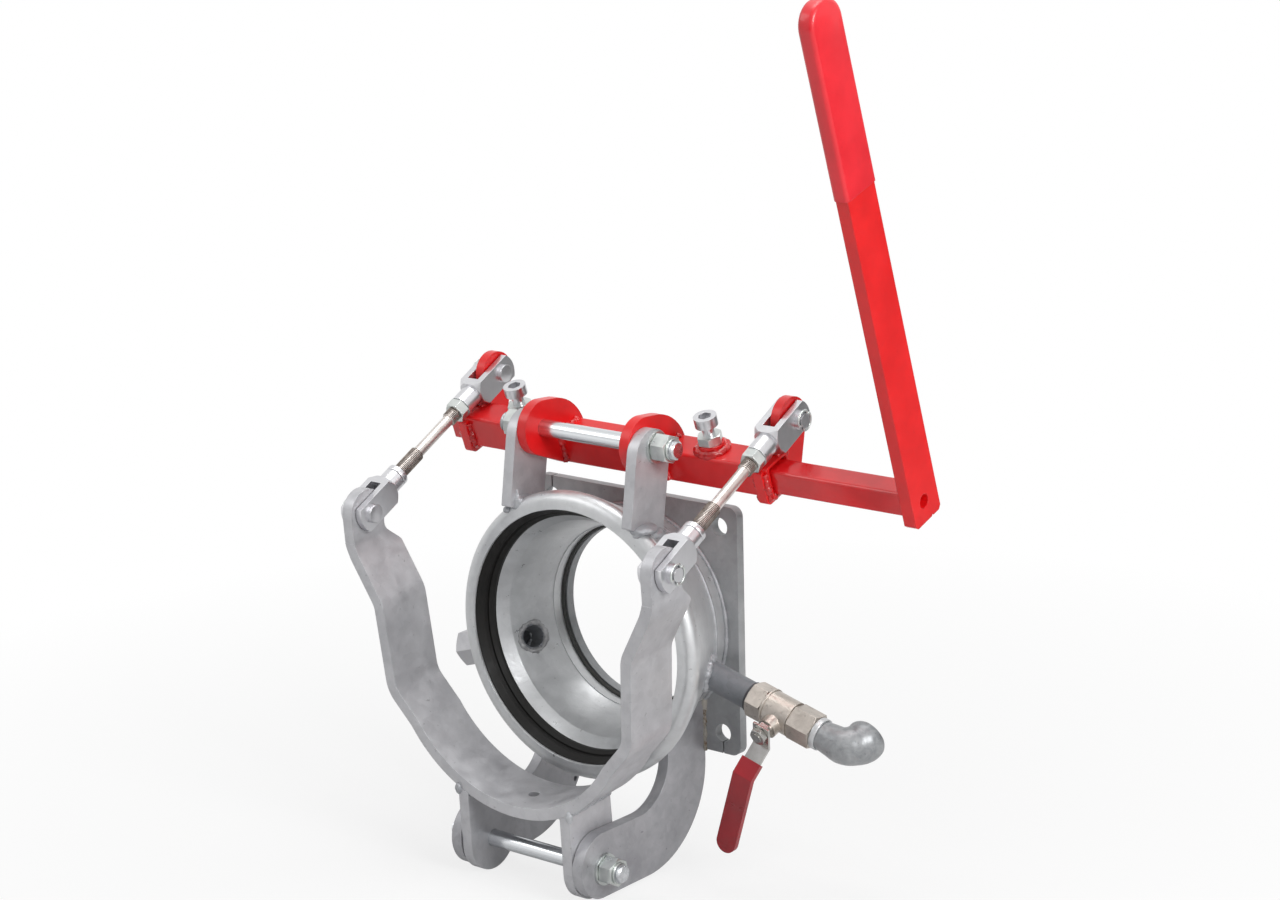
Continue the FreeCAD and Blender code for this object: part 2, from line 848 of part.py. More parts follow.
def pivot_plate():
    pivot = from_world(lever_tilt, tube_y, tube_z, top_shaft_y, top_shaft_z)
    corner = tube_size / 2
    rounds = [(pivot[0], pivot[1], pivot_plate_radius), (-corner, -corner, 0)]
    reach = pivot_crown_radius - pivot_crown_corner
    for step in range(pivot_crown_steps + 1):
        part_way = step / pivot_crown_steps
        turn = math.radians(pivot_crown_first + (pivot_crown_last - pivot_crown_first) * part_way)
        rounds.append((pivot_crown_back + reach * math.cos(turn),
                       pivot_crown_height + reach * math.sin(turn), pivot_crown_corner))
    x1 = pivot_plate_outer
    x0 = x1 - pivot_plate_thickness
    plate = plate_across_x(rounds, x0, x1).cut(tube_square(x0, x1))
    hole = along_x(x0, x1, pivot[0], pivot[1], shaft_radius + running_fit)
    return in_lever_frame(plate.cut(hole))


def crank_plate():
    rounds = [(crank_pin_back, crank_pin_height - crank_eye_drop, crank_radius),
              (crank_notch_back, crank_notch_height, 0),
              (crank_front + crank_corner, crank_shoulder - crank_corner, crank_corner),
              (crank_front + crank_heel, crank_bottom + crank_heel, crank_heel),
              (crank_back - crank_corner, crank_bottom + crank_corner, crank_corner)]
    x0 = rod_x - crank_thickness / 2
    x1 = x0 + crank_thickness
    plate = plate_across_x(rounds, x0, x1).cut(tube_square(x0, x1))
    hole = along_x(x0, x1, crank_pin_back, crank_pin_height, pin_radius + running_fit)
    return in_lever_frame(plate.cut(hole))


def upright(shape):
    return in_lever_frame(both_sides(shape))


def set_screw_bosses():
    top = tube_size / 2
    boss = tube_between(vec(screw_x, 0, top), vec(screw_x, 0, top + screw_boss_height),
                        screw_boss_radius, screw_radius)
    return upright(boss)


def set_screws():
    head_foot = screw_head_top - screw_head_height
    tip = bar_size / 2 - bar_drop() + side_gap
    screw = rod_between(vec(screw_x, 0, tip), vec(screw_x, 0, head_foot), screw_radius)
    head = rod_between(vec(screw_x, 0, head_foot), vec(screw_x, 0, screw_head_top),
                       screw_head_radius)
    socket = hexagon(screw_socket_flats, vec(screw_x, 0, screw_head_top - screw_socket_depth),
                     vec(screw_x, 0, screw_head_top))
    return upright(screw.fuse(head).cut(socket))


def set_screw_nuts():
    foot = tube_size / 2 + screw_boss_height
    start = vec(screw_x, 0, foot)
    end = vec(screw_x, 0, foot + screw_nut_height)
    nut = chamfered_hexagon(screw_nut_flats, start, end)
    return upright(nut.cut(rod_between(start, end, screw_radius)))


# Sliding bar and hand lever

def bar_drop():
    # The bar lies on the floor of the tube.
    return tube_size / 2 - tube_wall - bar_size / 2 - side_gap


def bar_solid(x0, x1):
    half = bar_size / 2
    bar = plate_across_x(square_rounds(half, bar_corner), x0, x1)
    bar.translate(vec(0, 0, -bar_drop()))
    return bar


def inner_bar():
    return in_lever_frame(bar_solid(-tube_half - bar_overhang, lever_inner_face))


def hand_lever():
    cut = lever_chamfer
    outline = [(lever_back, lever_bottom + cut), (lever_back, lever_top - lever_top_cut),
               (lever_back - lever_top_cut, lever_top), (lever_front + lever_top_cut, lever_top),
               (lever_front, lever_top - lever_top_cut), (lever_front, lever_bottom + cut),
               (lever_front + cut, lever_bottom), (lever_back - cut, lever_bottom)]
    x0 = lever_inner_face
    x1 = x0 + lever_thickness
    lever = plate_across_x([(y, z, 0) for y, z in outline], x0, x1)
    lever = lever.cut(along_x(x0, x1, 0, -bar_drop(), lever_hole_radius))
    notch_y = lever_front + (lever_back - lever_front) * 2 / 3
    notch = along_x(x0, x1, notch_y, lever_bottom, lever_notch_radius)
    return in_lever_frame(lever.cut(notch))


def lever_grip():
    width = grip_back - grip_front
    radius = width / 2 - 1
    middle = (grip_back + grip_front) / 2
    rounds = [(grip_back, grip_start, 0), (middle + 0.5, grip_top - radius, radius),
              (middle - 0.5, grip_top - radius, radius), (grip_front, grip_start, 0)]
    x0 = lever_inner_face - grip_wall
    x1 = lever_inner_face + lever_thickness + grip_wall
    grip = plate_across_x(rounds, x0, x1)
    core = block(lever_inner_face, lever_inner_face + lever_thickness, lever_front, lever_back,
                 grip_start, lever_top - lever_top_cut)
    shoulder = lever_top - lever_top_cut
    tip = plate_across_x([(lever_back, shoulder, 0), (lever_back - lever_top_cut, lever_top, 0),
                          (lever_front + lever_top_cut, lever_top, 0), (lever_front, shoulder, 0)],
                         lever_inner_face, lever_inner_face + lever_thickness)
    return in_lever_frame(grip.cut(core).cut(tip))


# Yoke

def offset_chain(points, distance):
    # Parallel chain on the outer side of a bent bar.
    result = []
    for index, (x, z) in enumerate(points):
        heads = []
        if index > 0:
            heads.append(math.atan2(z - points[index - 1][1], x - points[index - 1][0]))
        if index < len(points) - 1:
            heads.append(math.atan2(points[index + 1][1] - z, points[index + 1][0] - x))
        bend = sum(heads) / len(heads)
        reach = distance / math.cos((heads[-1] - heads[0]) / 2)
        result.append((x + reach * math.sin(bend), z - reach * math.cos(bend)))
    return result


def arc_point(radius, angle):
    turn = math.radians(angle)
    return radius * math.sin(turn), yoke_arc_height - radius * math.cos(turn)


def yoke_profile():
    # Half of the bar's inner face from the end of the arc to the top of the tab.
    top = yoke_tab_half
    tab_foot = (yoke_tab_inner, yoke_tab_start)
    chain = [arc_point(yoke_arc_radius, yoke_arc_end), yoke_knee, yoke_waist, yoke_flare, tab_foot,
             (yoke_tab_inner, top)]
    outer = offset_chain(chain, yoke_thickness)
    outer[0] = arc_point(yoke_arc_radius + yoke_thickness, yoke_arc_end)
    return chain, outer


def bent(band, chain, other):
    # Rounds the bends of one face of the flat bar, wider where that face is on the outside.
    tight = []
    wide = []
    for index in range(1, len(chain) - 1):
        x, z = chain[index]
        turn_in = math.hypot(x - chain[index - 1][0], z - chain[index - 1][1])
        turn_out = math.hypot(x - chain[index + 1][0], z - chain[index + 1][1])
        other_in = math.hypot(other[index][0] - other[index - 1][0], other[index][1] - other[index - 1][1])
        other_out = math.hypot(other[index][0] - other[index + 1][0],
                               other[index][1] - other[index + 1][1])
        outside = turn_in + turn_out > other_in + other_out
        (wide if outside else tight).append((x, z))
    for corners, radius in ((tight, yoke_bend), (wide, yoke_bend + yoke_thickness)):
        edges = [edge for edge in band.Edges if runs_along_y(edge, corners)]
        if edges:
            band = band.makeFillet(radius, edges)
    return band


def runs_along_y(edge, corners):
    first = edge.Vertexes[0].Point
    last = edge.Vertexes[-1].Point
    if abs(first.y - last.y) < yoke_thickness:
        return False
    return any(math.hypot(abs(first.x) - x, first.z - z) < 0.01 for x, z in corners)


def yoke_band():
    inner, outer = yoke_profile()
    place = lambda point: vec(point[0], yoke_front, point[1])
    left = lambda chain: [(-x, z) for x, z in chain]
    low_inner = arc_point(yoke_arc_radius, 0)
    low_outer = arc_point(yoke_arc_radius + yoke_thickness, 0)
    edges = [Part.Arc(place(left(inner)[0]), place(low_inner), place(inner[0])).toShape(),
             Part.Arc(place(left(outer)[0]), place(low_outer), place(outer[0])).toShape()]
    for chain in (inner, outer, left(inner), left(outer)):
        for first, last in zip(chain, chain[1:]):
            edges.append(Part.makeLine(place(first), place(last)))
    for side in (1, -1):
        edges.append(Part.makeLine(place((side * inner[-1][0], inner[-1][1])),
                                   place((side * outer[-1][0], outer[-1][1]))))
    wire = Part.Wire(Part.__sortEdges__(edges))
    band = Part.Face(wire).extrude(vec(0, yoke_back - yoke_front, 0))
    for first, second in ((inner, outer), (outer, inner)):
        band = bent(band, first, second)
    reach = rod_x + 2 * yoke_thickness
    keep = plate_across_x(tab_rounds(), -reach, reach)
    band = band.common(keep)
    for side in (-1, 1):
        hole = along_x(side * yoke_tab_inner, side * (yoke_tab_inner + yoke_thickness), 0, 0,
                       pin_radius)
        band = band.cut(hole)
    middle = (yoke_front + yoke_back) / 2
    drain = rod_between(vec(0, middle, yoke_arc_height), vec(0, middle, yoke_low_end), yoke_drain_radius)
    return in_yoke_frame(band.cut(drain))


def tab_rounds():
    # Side view of the yoke: full width below, a sloping shoulder, a narrower tab with a round top.
    half = yoke_tab_half
    return [(0, 0, half), (-half, yoke_tab_start, 0), (yoke_front - 1, yoke_tab_start, 0),
            (yoke_front - 1, yoke_low_end, 0), (yoke_back + 1, yoke_low_end, 0),
            (yoke_back + 1 - yoke_shoulder_radius, yoke_shoulder, yoke_shoulder_radius),
            (yoke_neck + yoke_neck_radius, yoke_neck_height, -yoke_neck_radius)]


def hinge_in_yoke():
    return from_world(yoke_lean, hook_pin_y, hook_pin_z, bottom_shaft_y, bottom_shaft_z)


def yoke_leg():
    # Plate from the underside of the band down to the lower shaft.
    w, v = hinge_in_yoke()
    top = yoke_arc_height - math.sqrt(yoke_arc_radius ** 2 - leg_inner ** 2) + 10
    rounds = [(w, v, leg_nose_radius), (yoke_back, top, 0), (yoke_front, top, 0)]
    leg = plate_across_x(rounds, leg_inner, leg_inner + leg_thickness)
    outer = yoke_arc_radius + yoke_thickness
    ring = rod_between(vec(0, yoke_front - 5, yoke_arc_height), vec(0, yoke_back + 5, yoke_arc_height),
                       outer)
    leg = leg.cut(ring)
    leg = leg.cut(along_x(leg_inner, leg_inner + leg_thickness, w, v, shaft_radius + running_fit))
    return in_yoke_frame(leg)


def hook_pin_cores():
    # The middle of each lower fork pin, which turns with the yoke.
    core = along_x(yoke_tab_inner, yoke_tab_inner + yoke_thickness, 0, 0, pin_radius)
    return in_yoke_frame(both_sides(core))


# Tie rods

def rod_length():
    y, z = crank_pin()
    return math.hypot(y - hook_pin_y, z - hook_pin_z)


def in_rod_frame(shape):
    # Shapes are drawn with the lower pin at the origin and the rod rising along Z.
    y, z = crank_pin()
    lean = -math.degrees(math.atan2(y - hook_pin_y, z - hook_pin_z))
    return tilted(shape, lean, hook_pin_y, hook_pin_z)


def fork_solid(length):
    half = fork_size / 2
    x0 = rod_x - half
    fork = block(x0, x0 + fork_size, -half, half, -fork_end, fork_square)
    crown = fork_end_radius - fork_end
    corners = block(x0, x0 + fork_size, -half, half, -fork_end, crown)
    corners = corners.cut(along_x(x0, x0 + fork_size, 0, crown, fork_end_radius))
    fork = fork.cut(corners).common(turned_barrel())
    neck = rod_between(vec(rod_x, 0, fork_square), vec(rod_x, 0, length), fork_neck_radius)
    slot = block(rod_x - fork_slot / 2, rod_x + fork_slot / 2, -fork_size, fork_size,
                 -fork_size, fork_slot_depth)
    fork = fork.fuse(neck).cut(slot)
    fork = fork.cut(along_x(x0, x0 + fork_size, 0, 0, pin_radius))
    start = length - rod_engagement
    return fork.cut(rod_between(vec(rod_x, 0, start), vec(rod_x, 0, length), rod_radius))


def turned_barrel():
    # The square block is turned down to a cone where it meets its neck.
    low = -fork_size
    high = fork_square
    full = fork_size
    slope = (full - fork_shoulder_radius) * 0.7
    profile = [(0, low), (full, low), (full, high - fork_shoulder - slope),
               (fork_shoulder_radius, high), (0, high)]
    points = [vec(rod_x + radius, 0, height) for radius, height in profile]
    face = Part.Face(Part.makePolygon(points + points[:1]))
    return face.revolve(vec(rod_x, 0, 0), z_axis, 360)


def turned_over(shape):
    # Same piece at the upper end of the rod, pointing down.
    result = shape.copy()
    result.rotate(vec(rod_x, 0, rod_length() / 2), x_axis, 180)
    return result


def lower_fork():
    return in_rod_frame(fork_solid(lower_fork_length))


def upper_fork():
    return in_rod_frame(turned_over(fork_solid(fork_length)))


def tie_rod():
    start = lower_fork_length - rod_engagement
    end = rod_length() - fork_length + rod_engagement
    rod = rod_between(vec(rod_x, 0, start), vec(rod_x, 0, start + rod_lower_thread), rod_radius)
    upper = rod_between(vec(rod_x, 0, end - rod_upper_thread), vec(rod_x, 0, end), rod_radius)
    shank = rod_between(vec(rod_x, 0, start + rod_lower_thread),
                        vec(rod_x, 0, end - rod_upper_thread), rod_shank_radius)
    return in_rod_frame(rod.fuse([upper, shank]))


def rod_lock_nut():
    start = vec(rod_x, 0, rod_length() - fork_length - rod_nut_height)
    end = vec(rod_x, 0, rod_length() - fork_length)
    nut = chamfered_hexagon(rod_nut_flats, start, end)
    return in_rod_frame(nut.cut(rod_between(start, end, rod_radius)))


def rod_thin_nut():
    # A thin round nut, as wide as the neck of the fork that it locks.
    start = vec(rod_x, 0, lower_fork_length)
    end = vec(rod_x, 0, lower_fork_length + rod_collar_height)
    return in_rod_frame(tube_between(start, end, fork_neck_radius, rod_radius))


def pin_head_and_tail():
    half = fork_size / 2
    head_start = rod_x - half - pin_head_height
    head = along_x(head_start, rod_x - half, 0, 0, pin_head_radius)
    return head, rod_x + half + pin_tail, head_start


def upper_pin():
    head, tail, start = pin_head_and_tail()
    pin = head.fuse(along_x(start, tail, 0, 0, pin_radius))
    pin.translate(vec(0, 0, rod_length()))
    return in_rod_frame(pin)


def lower_pin_ends():
    # Both ends of the lower pin; its middle belongs to the yoke.
    head, tail, start = pin_head_and_tail()
    inner = head.fuse(along_x(start, yoke_tab_inner - side_gap, 0, 0, pin_radius))
    outer = along_x(yoke_tab_inner + yoke_thickness + side_gap, tail, 0, 0, pin_radius)
    return in_rod_frame(Part.makeCompound([inner, outer]))


def pin_collars():
    # A retaining collar on the outer end of each fork pin.
    start = rod_x + fork_size / 2
    collar = tube_between(vec(start, 0, 0), vec(start + collar_width, 0, 0), collar_radius, pin_radius)
    upper = collar.copy()
    upper.translate(vec(0, 0, rod_length()))
    return in_rod_frame(Part.makeCompound([collar, upper]))


def write(name, shape):
    shape.exportStep("parts/" + name + ".step")


def main():
    os.makedirs("parts", exist_ok=True)
    lug_face = lug_inner + lug_thickness
    arm_face = arm_inner + arm_thickness
    write("flange_plate", flange_plate())
    write("neck_ring", neck_ring())
    write("coupling_cup", coupling_cup())
    write("cup_seal", cup_seal())
    write("right_shaft_lug", shaft_lug())
    write("left_shaft_lug", mirrored(shaft_lug()))
    write("right_hinge_arm", hinge_arm(False))
    write("left_hinge_arm", mirrored(hinge_arm(True)))
    write("top_shaft", shaft(top_shaft_half, top_shaft_y, top_shaft_z))
    write("top_shaft_washers", washer(lug_face, top_shaft_y, top_shaft_z))
    write("top_shaft_nuts", nut_pair(lug_face, lock_nut_height, top_shaft_y, top_shaft_z, 10))
    write("bottom_shaft", shaft(bottom_shaft_half, bottom_shaft_y, bottom_shaft_z))
    write("bottom_shaft_washers", washer(arm_face, bottom_shaft_y, bottom_shaft_z))
    write("bottom_shaft_nuts",
          nut_pair(arm_face, nut_height, bottom_shaft_y, bottom_shaft_z, 0))
    write("right_port_pipe", right_port_pipe())
    write("left_port_pipe", left_port_pipe())
    write("left_port_cap", left_port_cap())
    write("valve_thread_tape", valve_thread_tape())
    write("valve_end_piece", valve_end_piece())
    write("valve_body", valve_body())
    write("valve_seats", valve_seats())
    write("valve_gland_nut", valve_gland_nut())
    write("valve_ball", valve_ball())
    write("valve_stem", valve_stem())
    write("valve_handle", valve_handle())
    write("valve_handle_sleeve", handle_sleeve())
    write("valve_handle_nut", handle_nut())
    write("outlet_elbow", outlet_elbow())
    write("square_tube", square_tube())
    write("set_screw_bosses", set_screw_bosses())
    write("set_screws", set_screws())
    write("set_screw_nuts", set_screw_nuts())
    write("inner_bar", inner_bar())
    write("hand_lever", hand_lever())
    write("lever_grip", lever_grip())
    write("yoke_band", yoke_band())
    write("hook_pin_cores", hook_pin_cores())
    handed = [("pivot_plate", pivot_plate()), ("crank_plate", crank_plate()),
              ("yoke_leg", yoke_leg()), ("lower_fork", lower_fork()),
              ("upper_fork", upper_fork()), ("tie_rod", tie_rod()),
              ("rod_lock_nut", rod_lock_nut()), ("rod_thin_nut", rod_thin_nut()),
              ("upper_pin", upper_pin()), ("lower_pin_ends", lower_pin_ends()),
              ("pin_collars", pin_collars())]
    for name, shape in handed:
        write("right_" + name, shape)
        write("left_" + name, mirrored(shape))


main()
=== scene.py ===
# Quick coupling for irrigation pipe, lever closed: camera, lights, finishes and small details.
import bpy
import math
from mathutils import Matrix, Vector


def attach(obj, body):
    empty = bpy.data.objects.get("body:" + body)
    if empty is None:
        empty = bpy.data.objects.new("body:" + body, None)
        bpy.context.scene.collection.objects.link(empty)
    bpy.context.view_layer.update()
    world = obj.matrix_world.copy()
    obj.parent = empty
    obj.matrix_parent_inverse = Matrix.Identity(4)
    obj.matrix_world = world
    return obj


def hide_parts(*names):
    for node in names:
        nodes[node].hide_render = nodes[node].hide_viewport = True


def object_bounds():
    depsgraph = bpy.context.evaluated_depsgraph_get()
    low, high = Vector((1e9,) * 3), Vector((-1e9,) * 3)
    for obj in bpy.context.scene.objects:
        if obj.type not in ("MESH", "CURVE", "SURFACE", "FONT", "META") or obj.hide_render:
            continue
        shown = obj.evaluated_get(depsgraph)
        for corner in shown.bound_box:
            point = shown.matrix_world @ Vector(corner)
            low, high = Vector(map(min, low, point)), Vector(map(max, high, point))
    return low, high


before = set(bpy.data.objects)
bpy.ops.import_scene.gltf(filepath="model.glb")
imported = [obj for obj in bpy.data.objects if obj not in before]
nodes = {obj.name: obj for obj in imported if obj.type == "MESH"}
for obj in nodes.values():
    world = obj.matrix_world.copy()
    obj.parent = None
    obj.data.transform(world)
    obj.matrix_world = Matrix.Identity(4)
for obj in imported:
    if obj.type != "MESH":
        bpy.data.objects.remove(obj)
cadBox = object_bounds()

print("frame loaded:", len(nodes), "nodes")

# Camera, solved from the square plate and the round cup.
cameraView = {
    "position": (2.10873, -2.61976, 1.05132),
    "right": (0.782832, 0.621751, -0.024486),
    "up": (-0.134729, 0.207790, 0.968850),
    "back": (0.607472, -0.755148, 0.246433),
    "lens": 83.381,
}
cameraData = bpy.data.cameras.new("photo_camera")
cameraData.sensor_width = 36.0
cameraData.lens = cameraView["lens"]
camera = bpy.data.objects.new("photo_camera", cameraData)
bpy.context.collection.objects.link(camera)
turn = Matrix((cameraView["right"], cameraView["up"], cameraView["back"])).transposed().to_4x4()
camera.matrix_world = Matrix.Translation(cameraView["position"]) @ turn
bpy.context.scene.camera = camera
bpy.context.scene.view_settings.view_transform = "Standard"
print("camera placed")


# Places of the drawn frames, the same as in the part's source, in metres.
def leaning(y, z, degrees):
    return Matrix.Translation((0, y, z)) @ Matrix.Rotation(math.radians(degrees), 4, "X")


leverPlace = leaning(-0.0365, 0.2072, 18.5)
yokePlace = leaning(-0.240, 0.144, 4.3)
rodPlace = leaning(-0.240, 0.144, -62.828)
valveRoll = 22.0
rightPort = (Matrix.Translation((0, -0.0538, 0)) @ Matrix.Rotation(math.radians(15.2), 4, "Y")
             @ Matrix.Rotation(math.radians(valveRoll), 4, "X"))
leftPort = Matrix.Translation((0, -0.065, 0)) @ Matrix.Rotation(math.radians(17.2), 4, "Y")
otherSide = Matrix.Scale(-1, 4, (1, 0, 0))
sides = {"right": Matrix.Identity(4), "left": otherSide}
rodLength = 264.36  # from here on sizes are in millimetres, where no note says otherwise
rodAcross = 219.0
shaftPlaces = {"top": (-89.5, 232.5), "bottom": (-203.5, -237.0)}  # y and z of the two shafts


# Finishes.
def startMaterial(name):
    material = bpy.data.materials.new(name)
    material.use_nodes = True
    tree = material.node_tree
    shader = tree.nodes["Principled BSDF"]
    spot = tree.nodes.new("ShaderNodeTexCoord").outputs["Object"]
    return material, tree, shader, spot


def stretched(tree, spot, scale):
    mapping = tree.nodes.new("ShaderNodeMapping")
    mapping.inputs["Scale"].default_value = scale
    tree.links.new(spot, mapping.inputs["Vector"])
    return mapping.outputs["Vector"]


def clouds(tree, spot, scale, detail=4.0, roughness=0.55, distortion=0.0):
    node = tree.nodes.new("ShaderNodeTexNoise")
    node.inputs["Scale"].default_value = scale
    node.inputs["Detail"].default_value = detail
    node.inputs["Roughness"].default_value = roughness
    node.inputs["Distortion"].default_value = distortion
    tree.links.new(spot, node.inputs["Vector"])
    return node.outputs["Fac"]


def crystals(tree, spot, scale):
    node = tree.nodes.new("ShaderNodeTexVoronoi")
    node.inputs["Scale"].default_value = scale
    tree.links.new(spot, node.inputs["Vector"])
    return node.outputs["Color"]


def spread(tree, value, low, high, outLow, outHigh):
    node = tree.nodes.new("ShaderNodeMapRange")
    node.clamp = True
    for socket, number in (("From Min", low), ("From Max", high), ("To Min", outLow), ("To Max", outHigh)):
        node.inputs[socket].default_value = number
    tree.links.new(value, node.inputs["Value"])
    return node.outputs["Result"]


def sums(tree, operation, first, second):
    node = tree.nodes.new("ShaderNodeMath")
    node.operation = operation
    for index, value in enumerate((first, second)):
        if isinstance(value, (int, float)):
            node.inputs[index].default_value = value
        else:
            tree.links.new(value, node.inputs[index])
    return node.outputs[0]


def blended(tree, first, firstShare, second, secondShare):
    return sums(tree, "ADD", sums(tree, "MULTIPLY", first, firstShare),
                sums(tree, "MULTIPLY", second, secondShare))


def tint(tree, amount, first, second):
    node = tree.nodes.new("ShaderNodeMix")
    node.data_type = "RGBA"
    tree.links.new(amount, node.inputs["Factor"])
    for socket, value in (("A", first), ("B", second)):
        target = [s for s in node.inputs if s.name == socket and s.type == "RGBA"][0]
        if isinstance(value, tuple):
            target.default_value = (*value, 1.0)
        else:
            tree.links.new(value, target)
    return [s for s in node.outputs if s.type == "RGBA"][0]


def darker(colour, share):
    return tuple(share * value for value in colour)


def surface(tree, shader, colour, roughness, metallic=0.0):
    tree.links.new(colour, shader.inputs["Base Color"])
    tree.links.new(roughness, shader.inputs["Roughness"])
    shader.inputs["Metallic"].default_value = metallic


def relief(tree, shader, heights, softEdge=0.0):
    # heights: (output, strength, distance in metres); softEdge rounds the sharp plate edges, also in metres.
    normal = None
    if softEdge > 0:
        edge = tree.nodes.new("ShaderNodeBevel")
        edge.samples = 4
        edge.inputs["Radius"].default_value = softEdge
        normal = edge.outputs["Normal"]
    for height, strength, distance in heights:
        bump = tree.nodes.new("ShaderNodeBump")
        bump.inputs["Strength"].default_value = strength
        bump.inputs["Distance"].default_value = distance
        tree.links.new(height, bump.inputs["Height"])
        if normal is not None:
            tree.links.new(normal, bump.inputs["Normal"])
        normal = bump.outputs["Normal"]
    tree.links.new(normal, shader.inputs["Normal"])


def galvanised(name, light, dark, metallic, rough, softEdge=0.0012, rust=0.0):
    # Zinc with its broad clouds, spangle and dark specks; rust lets brown stains through.
    material, tree, shader, spot = startMaterial(name)
    big = clouds(tree, spot, 9.0, 3.0, 0.6)
    middle = clouds(tree, spot, 42.0, 5.0, 0.62, 0.4)
    fine = clouds(tree, spot, 320.0, 3.0, 0.6)
    spangle = spread(tree, crystals(tree, spot, 120.0), 0.0, 1.0, -0.05, 0.05)
    shade = sums(tree, "ADD", blended(tree, big, 0.55, middle, 0.45), spangle)
    colour = tint(tree, spread(tree, shade, 0.36, 0.64, 0.0, 1.0), dark, light)
    specks = spread(tree, clouds(tree, spot, 170.0, 3.0, 0.55), 0.69, 0.73, 0.0, 0.5)
    colour = tint(tree, specks, colour, darker(dark, 0.5))
    if rust > 0:
        stain = spread(tree, clouds(tree, spot, 60.0, 5.0, 0.7), 0.62 - rust, 0.72 - rust, 0.0, 0.9)
        colour = tint(tree, stain, colour, (0.13, 0.078, 0.036))
    surface(tree, shader, colour, spread(tree, middle, 0.3, 0.7, rough - 0.08, rough + 0.1), metallic)
    relief(tree, shader, [(middle, 0.3, 0.0014), (fine, 0.18, 0.0004)], softEdge)
    return material


def paint(name, colour, shadow, rough, coat, grain=0.1, softEdge=0.0016, dustiness=0.25):
    # Sprayed or dipped colour with flow, orange peel and a little dust.
    material, tree, shader, spot = startMaterial(name)
    flow = clouds(tree, spot, 26.0, 3.0, 0.5)
    peel = clouds(tree, spot, 420.0, 2.0, 0.5)
    dust = spread(tree, clouds(tree, spot, 110.0, 5.0, 0.7), 0.6, 0.8, 0.0, dustiness)
    base = tint(tree, spread(tree, flow, 0.35, 0.65, 0.0, 1.0), shadow, colour)
    surface(tree, shader, tint(tree, dust, base, darker(shadow, 0.6)),
            spread(tree, flow, 0.3, 0.7, rough - 0.05, rough + 0.06))
    shader.inputs["Coat Weight"].default_value = coat
    shader.inputs["Coat Roughness"].default_value = 0.08
    relief(tree, shader, [(flow, 0.12, 0.001), (peel, grain, 0.0002)], softEdge)
    return material


def machined(name, light, dark, rough, squeeze, metallic=0.95, softEdge=0.0005, patches=0.5, dents=1.0):
    # Turned, drawn or rolled metal, where squeeze sets the direction and fineness of its marks.
    material, tree, shader, spot = startMaterial(name)
    marks = clouds(tree, stretched(tree, spot, squeeze), 1.0, 2.0, 0.6)
    patch = clouds(tree, spot, 60.0, 4.0, 0.6)
    mix = blended(tree, marks, 1.0 - patches, patch, patches)
    surface(tree, shader, tint(tree, spread(tree, mix, 0.35, 0.65, 0.0, 1.0), dark, light),
            spread(tree, patch, 0.3, 0.7, rough - 0.05 * dents, rough + 0.08 * dents), metallic)
    relief(tree, shader, [(marks, 0.06 * dents, 0.0002), (patch, 0.04 * dents, 0.0003)], softEdge)
    return material


def cast(name, light, dark, metallic, rough, grain, lump, softEdge=0.001):
    # Sand-cast metal with blotches and pits.
    material, tree, shader, spot = startMaterial(name)
    sand = clouds(tree, spot, 520.0, 4.0, 0.65)
    blotch = clouds(tree, spot, 85.0, 5.0, 0.65, 0.6)
    broad = clouds(tree, spot, 22.0, 2.0, 0.5)
    mix = blended(tree, blotch, 0.6, broad, 0.4)
    colour = tint(tree, spread(tree, mix, 0.38, 0.62, 0.0, 1.0), dark, light)
    pits = spread(tree, clouds(tree, spot, 240.0, 3.0, 0.5), 0.64, 0.72, 0.0, 0.55)
    surface(tree, shader, tint(tree, pits, colour, darker(dark, 0.5)),
            spread(tree, blotch, 0.3, 0.7, rough - 0.06, rough + 0.1), metallic)
    relief(tree, shader, [(blotch, lump, 0.0008), (sand, grain, 0.0003)], softEdge)
    return material


def rubber(name, light, dark, rough, ring=0.0):
    # Dull black or grey; ring gives a seal its fine moulded rings round Y.
    material, tree, shader, spot = startMaterial(name)
    dust = clouds(tree, spot, 60.0, 5.0, 0.65)
    grain = clouds(tree, spot, 700.0, 2.0, 0.5)
    surface(tree, shader, tint(tree, spread(tree, dust, 0.4, 0.75, 0.0, 1.0), dark, light),
            spread(tree, dust, 0.3, 0.7, rough - 0.08, rough + 0.1))
    shader.inputs["Specular IOR Level"].default_value = 0.3
    heights = [(grain, 0.12, 0.0002)]
    if ring > 0:
        fine = clouds(tree, stretched(tree, spot, (6, ring, 6)), 1.0, 2.0, 0.5)
        heights.append((fine, 0.2, 0.0004))
    relief(tree, shader, heights, 0.0008)
    return material


